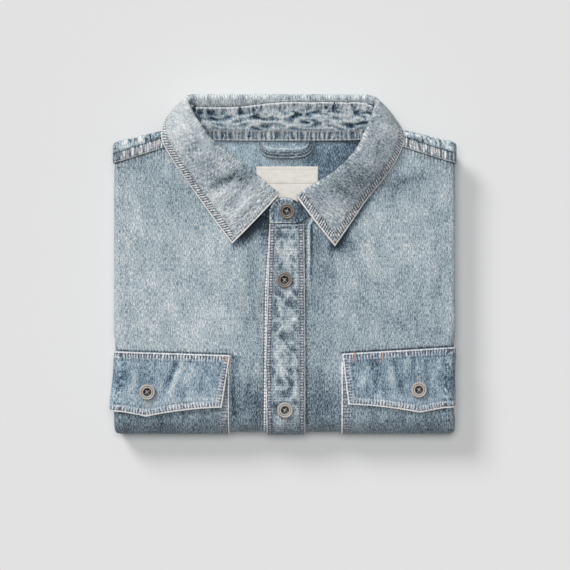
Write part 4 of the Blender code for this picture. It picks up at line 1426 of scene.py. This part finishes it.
def stand_depth(station):
    return (stand_point(station, 1.0) - stand_point(station, 0.0)).length


def collar_stand(finish):
    stations = spread(STAND_FIRST, 8, 0.045) + spread(8, 10, 0.017)[1:] + spread(10, STAND_LAST, 0.045)[1:]
    runs = runs_along(stations, lambda station: stand_point(station, 0.5))

    def middle(station, share):
        return stand_point(station, share) + stand_facing(station) * stand_relief(station, share)[0]

    def look(station, share):
        height, away, run, band, upper, rubbed, crumple, on_tab = stand_relief(station, share)
        x = stand_point(station, share).x
        # Crumple ridges painted pale and hollows dark, partly rubbed wear and partly painted highlight and
        # shade; pleats and tab get painted shade by their relief too.
        shade = 0.48 + 0.60 * rubbed + (0.12 - 1.2 * height) * band + (0.3 * height - 0.02) * on_tab
        shade -= 0.06 * ease(abs(x), 50, 70) + 0.14 * ease(-x, 52, 70)
        # Painted shadow under the collar's points at both ends of the stand.
        shade -= 0.45 * (1 - ease(station, 0.6, 2.2)) + 0.35 * swell(station - LAST + 0.3, 1.1)
        worn = (1 - cornering(station)) * ease(station, 1.5, 3) * (1 - ease(station, LAST - 3, LAST - 1))
        worn += 0.85 * ease(station, LAST + 0.3, LAST + 1.0)
        pucker = max(0.5 * band, 0.7 * upper, 0.2 * crumple, 0.6 * on_tab * (1 - ease(away, 3, 5)))
        creased = max(0.4 * crumple, 0.3 * on_tab)
        return (runs[station], share * stand_depth(station)), (run, away), shade, pucker, worn, creased

    rows = spread(0, 1, 0.027)
    return two_sided_cloth("collar_stand", stations, rows, middle, stand_facing, stand_ply, look, finish)


# ---------------------------------------------------------------- inside the neck


LOOP_RUN = 60.0
LOOP_SEAMS = (0.14, 0.42)  # rows of stitches, as shares of its width
LABEL_SEAM = 0.93
LABEL_PLY = 0.6


def loop_point(column, row):
    angle = pi * column
    half = between(LOOP_OUTER[0], LOOP_INNER[0], row)
    depth = between(LOOP_OUTER[1], LOOP_INNER[1], row)
    side = copysign(abs(cos(angle)) ** (2 / LOOP_CURVE), -cos(angle))
    down = sin(angle) ** (2 / LOOP_CURVE)
    puff = 0.5 * sin(pi * clamp(row)) ** 0.6 - 0.25 * groove(row, LOOP_SEAMS[0], 0.05)
    puff += 0.12 * grain(column * LOOP_RUN, row * 8, 3, 4, 81)
    height = NECK_FLOOR + SEAM + DENIM + LOOP_RISE * sin(angle) + puff
    return Vector((LOOP_MIDDLE + half * side, LOOP_TOP - depth * down, height))


def hanger_loop(finish):
    width = LOOP_OUTER[1] - LOOP_INNER[1]

    def look(column, row):
        # Painted highlight along the upper fold and the middle, painted shadow towards the +X end.
        shade = 0.17 + 0.10 * sin(pi * row) + 0.26 * ease(row, 0.5, 0.8) - 0.2 * ease(column, 0.6, 1.0)
        along, away = column * LOOP_RUN, width * min(row, 1 - row)
        return (row * width, along), (along, away), shade, 0.1, 0.4

    return cloth("hanger_loop", spread(0, 1, 0.012), spread(0, 1, 0.07), loop_point, look, DENIM, finish)


def label_point(column, row):
    x_from, x_to, y_from, y_to = LABEL
    x, y = between(x_from, x_to, column), between(y_from, y_to, row)
    y += 0.12 * grain(x, 0, 2.0, 1.0, 91) * (row > 0.99)
    x += 0.12 * grain(y, 0, 2.0, 1.0, 92) * (abs(column - 0.5) > 0.49)
    hem = 0.35 * swell(y - (y_to - LABEL_HEM), 0.9)
    rise = 0.35 * swell(column - 0.6, 0.5) * (1 - row) + 0.12 * grain(x, y, 9, 9, 93)
    return Vector((x, y, NECK_FLOOR + SEAM + LABEL_THICK + 0.1 + rise - hem))


def label(finish):
    def look(column, row):
        point = label_point(column, row)
        return (point.x, point.y), (point.x, LABEL[3] - point.y), 0.5, 0.0, 0.0

    columns, rows = spread(0, 1, 0.025), spread(0, 1, 0.03)
    return cloth("label", columns, rows, label_point, look, LABEL_PLY, finish)


# ---------------------------------------------------------------- the hidden layers

LAYER_INSETS = (0.3, 1.2, 0.0)  # how far each layer's edge stays back, from the lowest up
LAYER_GAP = 0.12
LAYER_PITCH = 2.5
LAYER_CORNER = 4.0


def layer_outline(layer, inset):
    """A folded layer's outline, as places round it: up its left side, over the shoulder end and down."""
    side = MIDDLE_SIDE - inset
    low = FOLD_LINE - 4  # inside the bottom fold

    def end(across):
        return NECK_BACK + 3.5 if abs(across) < NECK_SIDE else shoulder_line(across) - 2.2

    high = end(side) - LAYER_CORNER
    left = [(-side, y) for y in spread(low, high, LAYER_PITCH)]
    over = [(x, end(x) - inset) for x in spread(-side + LAYER_CORNER, side - LAYER_CORNER, LAYER_PITCH)]
    right = [(side, y) for y in spread(high, low, LAYER_PITCH)]
    places = []
    for run, (x, y) in enumerate(left + over + right):
        wave = 0.5 * grain(run, layer, 9, 1, 95)
        places.append((x + copysign(wave, -x) * (abs(x) > side - 1), y - abs(wave) * (y > end(x) - 3)))
    return places


def hidden_layers(finish):
    """Back, sleeves and tail, folded flat between the fronts. Each layer is one fold of cloth whose
    rounded edge shows at the sides and at the shoulder end."""
    bm = bmesh.new()
    pitch = (MIDDLE_TOP - MIDDLE_LOW) / len(LAYER_INSETS)
    thick = pitch - LAYER_GAP
    for layer, inset in enumerate(LAYER_INSETS):
        level = MIDDLE_LOW + pitch * layer + LAYER_GAP / 2
        base = bm.faces.new(
            [bm.verts.new((x * MM, y * MM, level * MM)) for x, y in layer_outline(layer, inset)]
        )
        raised = bmesh.ops.extrude_face_region(bm, geom=[base], use_keep_orig=True)["geom"]
        upper = [item for item in raised if isinstance(item, bmesh.types.BMVert)]
        bmesh.ops.translate(bm, verts=upper, vec=(0, 0, thick * MM))
        rims = list(base.edges) + [item for item in raised if isinstance(item, bmesh.types.BMEdge)]
        rounding = {"offset": thick * 0.48 * MM, "segments": 5, "profile": 0.5}
        bmesh.ops.bevel(bm, geom=list(dict.fromkeys(rims)), affect="EDGES", material=-1, **rounding)
    bmesh.ops.recalc_face_normals(bm, faces=bm.faces)
    for vertex in bm.verts:
        x, y, z = vertex.co / MM
        vertex.co.z += 0.25 * MM * grain(x + y, z * 0.1, 13, 1, 96)
    bm.verts.index_update()
    places = [tuple(vertex.co / MM) for vertex in bm.verts]
    middle = (MIDDLE_LOW + MIDDLE_TOP) / 2

    def look(x, y, z):
        pale = 0.42 + 0.10 * grain(x + y, z, 12, 2.0, 97) - 0.05 * abs(z - middle)
        return (x + y, z * 1.5), (x + y, 9.0), pale, 0.0, 0.0

    dye(bm, places, look)
    return add_piece("hidden_layers", bm, finish)


# ---------------------------------------------------------------- sewing

STITCH = 2.2  # from one stitch to the next: eleven or twelve to the inch
STITCH_LONG = 1.5
THREAD_WIDE = 0.5
THREAD_HIGH = 0.42
TACK_STEP = 0.2  # how far apart two places are when a skin's slope is found
BAR_LEAN = 0.25  # a bar's threads lean this way and that
SLIT_LIP = 0.75  # from a slit to the middle of either lip
BAR_HALF = 1.2
SEWN_DOWN = FOLD_LINE - TURN * 0.6  # how far round the bottom fold the rows are sewn
SEWN_OVER = FLAT_HALF + WRAP * 0.55  # and how far over a side fold
PEN_SLOT = (56.0, 78.4)
STAND_RUN = (3.0, LAST - 3.0)
HOLE_ENDS = ((-5.4, -12.0), (5.6, 11.0))  # what shows of each flap's buttonhole, from its button
UP = Vector((0, 0, 1))


def one_stitch(bm, at, along, facing, length=STITCH_LONG, width=THREAD_WIDE, height=THREAD_HIGH):
    along = (along - facing * along.dot(facing)).normalized()
    beside = facing.cross(along)
    turn = Matrix((along * length, beside * width, facing * height)).transposed() * (MM / 2)
    place = Matrix.Translation(at * MM) @ turn.to_4x4()
    bmesh.ops.create_icosphere(bm, subdivisions=1, radius=1.0, matrix=place)


def facing_of(skin, place, upward, step):
    """The way that a skin faces at a place, on the side that upward is."""
    a, b = place
    across = skin(a + step, b) - skin(a - step, b)
    along = skin(a, b + step) - skin(a, b - step)
    facing = across.cross(along).normalized()
    return facing if facing.dot(upward) > 0 else -facing


def sew(bm, skin, path, upward, step=TACK_STEP, pitch=STITCH, length=STITCH_LONG, sunk=0.05):
    """A row of stitches along a path of places on a skin; upward(place) tells its outer side."""
    points = [skin(*place) for place in path]
    lengths = [0.0]
    for start, end in zip(points, points[1:]):
        lengths.append(lengths[-1] + (end - start).length)
    count = int(lengths[-1] // pitch)
    index = 0
    for number in range(count):
        goal = (number + 0.5) * lengths[-1] / count
        while lengths[index + 1] < goal:
            index += 1
        share = (goal - lengths[index]) / max(lengths[index + 1] - lengths[index], 1e-6)
        place = tuple(between(a, b, share) for a, b in zip(path[index], path[index + 1]))
        along = (points[index + 1] - points[index]).normalized()
        facing = facing_of(skin, place, upward(place), step)
        one_stitch(bm, skin(*place) - facing * sunk, along, facing, length)


def tack(bm, skin, start, end, pitch=0.55, width=1.5):
    """A bartack on the body: short threads packed side by side from one place to another."""
    run = skin(*end) - skin(*start)
    count = max(int(run.length / pitch), 2)
    for number in range(count):
        place = tuple(between(a, b, (number + 0.5) / count) for a, b in zip(start, end))
        facing = facing_of(skin, place, body_out(place), TACK_STEP)
        along = run.normalized()
        across = along.cross(facing) + along * (BAR_LEAN if number % 2 else -BAR_LEAN)
        one_stitch(bm, skin(*place) + facing * 0.1, across, facing, width, 0.6, 0.5)


def buttonhole(bm, skin, x, *slit):
    """Two lips of close threads either side of a slit, and a bar at each end."""
    start, end = (Vector((x, y)) for y in slit)
    beside = (end - start).orthogonal().normalized()
    for lip in (beside * -SLIT_LIP, beside * SLIT_LIP):
        tack(bm, skin, start + lip, end + lip, 0.5, 1.1)
    for at in (start, end):
        tack(bm, skin, at - beside * BAR_HALF, at + beside * BAR_HALF, 0.6, 0.9)


def straight_up(_):
    return UP


def body_out(place):
    """Which way is out at a place on the body: up on top, turning over at the sides and the bottom."""
    x, y = place
    side = min(max(abs(x) - FLAT_HALF, 0.0) / ROLL, pi)
    turned = clamp((FOLD_LINE - y) / FOLD_RADIUS, 0.0, pi)
    out = Vector((0, -sin(turned), cos(turned)))
    return out * cos(side) + Vector((copysign(sin(side), x), 0, 0))


def placket_rows():
    for inset in PLACKET_SEAMS:
        for edge, inwards in enumerate((inset, -inset)):
            rows = spread(PLACKET_TOP - 1, SEWN_DOWN, 1.0)
            yield placket_skin, [(along_table(PLACKET_EDGES, y)[edge] + inwards, y) for y in rows]


def pocket_rows():
    for _, side, inner, _ in POCKETS:
        for inset in POCKET_SEAMS:
            yield pocket_skin(inner), [(side * (inner + inset), y) for y in spread(-108, SEWN_DOWN, 1.0)]


def yoke_rows():
    places = spread(NECK_SIDE + 0.5, FLAT_HALF + WRAP * 0.6, 1.0)
    for side in (-1, 1):
        for inset in YOKE_SEAMS:
            yield yoke_skin, [(side * x, yoke_seam(x) + inset / YOKE_LEAN) for x in places]


def flap_rows(flap):
    def point(x):
        return flap.depth(x)[1]

    for inset in FLAP_SEAMS:
        inside = [flap.flat(flap.inner, share) for share in spread(0.03, 1, 0.01)]
        inside = [(x + inset, y) for x, y in inside if y > point(x + inset) + inset]
        below = [(x, point(x) + inset * 1.02) for x in spread(flap.inner + flap.lean, SEWN_OVER, 1.0)]
        below = [place for place in below if place[0] > inside[-1][0]]
        yield flap.skin, [(flap.side * x, y) for x, y in inside + below]
        top = spread(flap.inner + 2, SEWN_OVER, 1.0)
        yield flap.skin, [(flap.side * x, flap_top(flap.side, x) - inset) for x in top]


def seam_stitches(flaps, finish):
    """The rows of seam stitches on the shirt's outer side."""
    bm = bmesh.new()
    rows = [*placket_rows(), *pocket_rows(), *yoke_rows()]
    for flap in flaps:
        rows += flap_rows(flap)
    for skin, path in rows:
        sew(bm, skin, path, body_out)
    for inset in LEAF_SEAMS:
        sew(bm, leaf_skin, leaf_seam(inset), lambda place: leaf_facing(*place), 0.01)
    return add_piece("seam_stitches", bm, finish)


def stand_row(share_of):
    """A row round the inside of the stand, at a share of its depth."""
    return [(station, share_of(stand_depth(station))) for station in spread(*STAND_RUN, 0.05)]


def toward_neck(place):
    return -stand_facing(place[0])


def neck_band_stitches(finish):
    """The row of stitches above the stand's puckered band."""
    bm = bmesh.new()
    path = stand_row(lambda depth: STAND_BAND / depth)
    sew(bm, stand_inner_skin, path, toward_neck, 0.01, length=1.8, sunk=-0.2)
    return add_piece("neck_band_stitches", bm, finish)


def neck_stitches(finish):
    """The rows of stitches on the stand, its tab, the loop and the label."""
    bm = bmesh.new()
    for share_of in (lambda depth: 1 - 2.2 / depth, lambda depth: 1.4 / depth):
        sew(bm, stand_inner_skin, stand_row(share_of), toward_neck, 0.01)
    low, high = 0.1, 0.9
    tab = [(station, low) for station in spread(LAST + 0.2, LAST + 2.6, 0.1)]
    for share in spread(0, 1, 0.1):
        station = between(LAST + 2.9, LAST + 3.55, sin(pi * share))
        tab.append((station, between(low + 0.04, high - 0.04, share)))
    tab += [(station, high) for station in spread(LAST + 2.6, LAST + 0.2, 0.1)]
    sew(bm, stand_outer_skin, tab, lambda place: stand_facing(place[0]), 0.01)
    for row in LOOP_SEAMS:
        sew(bm, loop_point, [(column, row) for column in spread(0.02, 0.98, 0.01)], straight_up, 0.004)
    path = [(column, LABEL_SEAM) for column in spread(0.03, 0.97, 0.02)]
    sew(bm, label_point, path, straight_up, 0.01, 2.2, 1.7)
    return add_piece("neck_stitches", bm, finish)


def bartacks(flaps, finish):
    """Bartacks at the right flap's corner and beside the left one's pen slot."""
    bm = bmesh.new()
    right, left = flaps
    x, top = -right.inner - 2.2, flap_top(right.side, right.inner + 5)
    tack(bm, right.skin, (x, top - 1.2), (x - 0.6, top - 6.4))
    tack(bm, right.skin, (x - 0.6, top - 2.2), (x - 5.0, top - 2.6))
    top = flap_top(left.side, left.inner + 5)
    for x in PEN_SLOT:
        tack(bm, left.skin, (x, top + 0.4), (x, top - 6.2), width=2.1)
    return add_piece("bartacks", bm, finish)


def buttonhole_stitches(flaps, finish):
    """What shows of each buttonhole past its button."""
    bm = bmesh.new()
    for flap, (start, end) in zip(flaps, HOLE_ENDS):
        x, y = flap.button
        buttonhole(bm, flap.skin, flap.side * x, y + start, y + end)
    for x, y in BUTTONS:
        buttonhole(bm, placket_skin, x, y - 5.2, y - 9.0)
    return add_piece("buttonhole_stitches", bm, finish)


# ---------------------------------------------------------------- buttons

BUTTON_STEPS = 36
BUTTON_SEAT = 5.2
DISH = 2.9
DISH_LEVEL = 1.3
BUTTON_RIM = (  # radius, height: from the dish over the rim to the seat
    (DISH, DISH_LEVEL),
    (3.1, 1.5),
    (3.3, 2.0),
    (3.7, 2.25),
    (4.15, 2.2),
    (4.4, 1.85),
    (4.65, 1.85),
    (4.9, 2.3),
    (5.35, 2.58),
    (5.85, 2.5),
    (6.2, 2.1),
    (6.35, 1.5),
    (6.28, 1.0),
    (5.9, 0.3),
    (BUTTON_SEAT, 0.0),
)
RIM_GROOVE = 4.52
HOLE = 0.72
HOLE_AT = 1.15  # from the middle, both ways
HOLE_STEPS = 12


def ring(bm, x, y, z, radius, steps):
    """A circle's edges, in order."""
    at = Matrix.Translation(Vector((x, y, z)) * MM)
    made = bmesh.ops.create_circle(bm, segments=steps, radius=radius * MM, matrix=at)
    return list(dict.fromkeys(edge for vertex in made["verts"] for edge in vertex.link_edges))


def button(name, seat, upward, finish, sewn, turn=0.0):
    """A four-hole button: two pierced discs joined through the holes, and a turned rim; its crossed
    thread goes to the sewing."""
    bm = bmesh.new()
    corners = [(x, y) for x in (-HOLE_AT, HOLE_AT) for y in (-HOLE_AT, HOLE_AT)]
    holes = []
    for level, radius in ((DISH_LEVEL, DISH), (0.0, BUTTON_SEAT)):
        edges = ring(bm, 0, 0, level, radius, BUTTON_STEPS)
        for x, y in corners:
            holes.append(ring(bm, x, y, level, HOLE, HOLE_STEPS))
            edges += holes[-1]
        bmesh.ops.triangle_fill(bm, use_beauty=True, edges=edges)
    for upper, lower in zip(holes[:4], holes[4:]):
        bmesh.ops.bridge_loops(bm, edges=upper + lower)
    rim = [bm.verts.new((0, radius * MM, height * MM)) for radius, height in BUTTON_RIM]
    rim += [bm.edges.new(pair) for pair in zip(rim, rim[1:])]
    whole_turn = {"cent": (0, 0, 0), "axis": (0, 0, 1), "angle": 2 * pi, "steps": BUTTON_STEPS}
    bmesh.ops.spin(bm, geom=rim, use_merge=True, **whole_turn)
    bmesh.ops.remove_doubles(bm, verts=bm.verts, dist=0.00001)
    bmesh.ops.recalc_face_normals(bm, faces=bm.faces)
    rubbed = bm.verts.layers.float.new("rubbed")
    for vertex in bm.verts:
        out, high = hypot(vertex.co.x, vertex.co.y) / MM, vertex.co.z / MM
        on_rim = ease(out, 3.0, 3.4) * ease(high, 0.9, 2.0)
        vertex[rubbed] = -0.1 + 0.72 * on_rim - 0.5 * swell(out - RIM_GROOVE, 0.4)
    tilt = UP.rotation_difference(upward).to_matrix().to_4x4()
    place = Matrix.Translation((seat + upward * SEAM) * MM) @ tilt @ Matrix.Rotation(turn, 4, "Z")
    bm.transform(place)
    piece = add_piece(name, bm, finish)

    right, up = (place.to_3x3() @ Vector(axis) for axis in ((1, 0, 0), (0, 1, 0)))
    middle = place.translation / MM + upward * (DISH_LEVEL + 0.1)
    for cross in (-1, 1):
        along = (right + up * cross).normalized()
        beside = upward.cross(along)
        for strand in (-0.28, 0.28):
            raised = upward * (0.16 + 0.2 * (cross > 0))
            one_stitch(sewn, middle + beside * strand + raised, along, upward, 3.4, 0.42, 0.5)
    for x, y in corners:
        down = place @ (Vector((x, y, 1.1)) * MM) / MM
        one_stitch(sewn, down, upward + right * 0.001, right, 1.8, 0.8, 0.8)
    return piece


def seat_on(surface, column, row):
    """The point of an outer face, and the way it faces."""
    step = 0.02
    here = surface(column, row)
    facing = (surface(column + step, row) - here).cross(surface(column, row + step) - here).normalized()
    return here, facing if facing.z > 0 else -facing


def buttons(flaps, dark, pale, thread_finish):
    sewn = bmesh.new()
    made = []
    here, facing = seat_on(stand_point, *TAB_BUTTON)
    made.append(button("button_stand", here + facing * (TWO_PLY / 2 + 0.1), facing, dark, sewn, 0.5))
    on_placket = (("button_chest", dark, 0.1), ("button_waist", pale, 0.3))
    for (name, finish, turn), place in zip(on_placket, BUTTONS):
        here, facing = seat_on(lambda x, y: on_body(x, y, PLACKET_LIFT + TWO_PLY), *place)
        made.append(button(name, here, facing, finish, sewn, turn))
    for flap in flaps:
        x, y = flap.button
        here, facing = seat_on(flap.seat, flap.side * x, y)
        made.append(button("button_" + flap.name, here + facing * 0.2, facing, pale, sewn, 0.15 * flap.side))
    add_piece("button_threads", sewn, thread_finish)
    return made


# ---------------------------------------------------------------- floor, light and camera

VIEW_WIDE = 456.0  # what the camera sees across, at the height of the shirt's face
VIEW_MIDDLE = (0.3, -16.4)
VIEW_FROM = 2500.0


def studio():
    bm = bmesh.new()
    bmesh.ops.create_grid(bm, x_segments=1, y_segments=1, size=8.0)
    mesh = bpy.data.meshes.new("floor")
    bm.to_mesh(mesh)
    bm.free()
    # Matt paper: pale, without gloss.
    paper, tree = new_material("matt_paper")
    shader = tree.nodes["Principled BSDF"]
    shader.inputs["Base Color"].default_value = linear("#E6E6E6")
    shader.inputs["Roughness"].default_value = 1.0
    shader.inputs["Specular IOR Level"].default_value = 0.0
    mesh.materials.append(paper)
    floor = bpy.data.objects.new("floor", mesh)
    bpy.context.scene.collection.objects.link(floor)
    floor.location.z = -0.0002
    floor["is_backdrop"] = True

    world = bpy.data.worlds.new("studio")
    world.use_nodes = True
    sky = world.node_tree.nodes["Background"]
    sky.inputs["Color"].default_value = (1.0, 1.0, 1.0, 1.0)
    sky.inputs["Strength"].default_value = 0.144
    bpy.context.scene.world = world

    for name, energy, wide, towards in (
        ("overhead_panel", 1.59, 30, (0.05, -0.17, -1)),
        ("window", 1.80, 21, (0.92, -1.18, -1)),
    ):
        lamp = bpy.data.lights.new(name, "SUN")
        lamp.energy = energy
        lamp.angle = radians(wide)
        light = bpy.data.objects.new(name, lamp)
        light.rotation_mode = "QUATERNION"
        light.rotation_quaternion = Vector(towards).to_track_quat("-Z", "Y")
        bpy.context.scene.collection.objects.link(light)

    lens = bpy.data.cameras.new("camera")
    lens.sensor_width = 36.0
    lens.lens = 36.0 * (VIEW_FROM - STACK) / VIEW_WIDE
    lens.clip_start, lens.clip_end = 0.05, 20.0
    camera = bpy.data.objects.new("camera", lens)
    camera.location = Vector((*VIEW_MIDDLE, VIEW_FROM)) * MM
    bpy.context.scene.collection.objects.link(camera)
    bpy.context.scene.camera = camera
    bpy.context.scene.view_settings.view_transform = "Standard"


# ---------------------------------------------------------------- the whole shirt


WASHED = ("#303B46", "#5D6E7B", "#8698A3", "#A9B7BE", "#C3CDD1", "#F0F0ED")
FLAP_WASHED = ("#28333F", "#566A7B", "#7F95A5", "#A4B5C0", "#C2CDD3", "#F0F0EE")
COLLAR_WASHED = ("#333C44", "#66747D", "#8B9AA3", "#ACB8BE", "#CBD2D4", "#F4F4F2")
UNFADED = ("#242F3A", "#52677A", "#7D93A2", "#9FB1BC", "#B8C8CF", "#E8EDEE")


def declare(piece, node):
    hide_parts(node)


def fronts_and_back(body, roped, unfaded):
    layers = hidden_layers(unfaded)
    declare(layers, "hidden_layers")
    declare(front("front_right", -1, body), "front_right")
    declare(front("front_left", 1, body), "front_left")
    declare(yoke_end("yoke_right", -1, roped), "yoke_right")
    declare(yoke_end("yoke_left", 1, roped), "yoke_left")
    declare(yoke_inside(unfaded), "yoke_inside")


def plackets(banded, unfaded):
    declare(placket(banded), "placket")
    declare(button_placket(unfaded), "button_placket")


def pockets_and_flaps(body, edged):
    for name, side, inner, top in POCKETS:
        declare(pocket(name, side, inner, top, body), name)
    flaps = [Flap(*row) for row in FLAPS]
    for flap in flaps:
        declare(flap.make(edged), flap.name)
    return flaps


def collar_and_neck(rubbed, crumpled, body, cotton):
    leaf, stand = collar_leaf(rubbed), collar_stand(crumpled)
    declare(leaf, "collar_leaf")
    declare(stand, "collar_stand")
    declare(hanger_loop(body), "hanger_loop")
    declare(label(cotton), "label")


def main():
    studio()
    body = denim("stone_washed_denim", WASHED)
    roped = denim("stone_washed_denim_yoke_seam", WASHED, "sewn", 3.5, 0.7, wobble=3.0)
    edged = denim("stone_washed_denim_flaps", FLAP_WASHED, "flap", 2.4, 0.9, pinkish=0.45)
    banded = denim("stone_washed_denim_placket", WASHED, "band", 2.2, 0.6)
    worn = {"slant": -24.0, "warp": (0.55, 3.2), "slubs": 1.8, "patchy": 0.5, "pinkish": 0.4}
    rubbed = denim("rubbed_collar_denim", COLLAR_WASHED, "free", 2.05, 1.0, **worn)
    crumpled = denim("crumpled_stand_denim", UNFADED, "inner", 3.6, 0.6, wobble=3.0, pinkish=0.2)
    unfaded = denim("unfaded_denim", UNFADED)
    cotton = label_cotton()
    pale_thread = thread("spun_polyester_cotton_thread", "#D9D3CD", "#A9A3A3")
    soiled_thread = thread("soiled_polyester_cotton_thread", "#A79B9B", "#6B6468")
    tan_thread = thread("tan_bartack_thread", "#D9AB90", "#B3958A")
    dark_horn = horn("grey_brown_imitation_horn", "#211D1C", "#8D847E")
    pale_horn = horn("tumbled_imitation_horn", "#2A2625", "#C2BCB5")

    fronts_and_back(body, roped, unfaded)
    plackets(banded, unfaded)
    flaps = pockets_and_flaps(body, edged)
    collar_and_neck(rubbed, crumpled, body, cotton)
    for piece in buttons(flaps, dark_horn, pale_horn, pale_thread):
        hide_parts(piece.name.removesuffix("_made"))
    seam_stitches(flaps, soiled_thread)
    neck_stitches(pale_thread)
    neck_band_stitches(tan_thread)
    bartacks(flaps, tan_thread)
    buttonhole_stitches(flaps, pale_thread)


main()
[[list(corner) for corner in box] for box in (solid_box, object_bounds())]
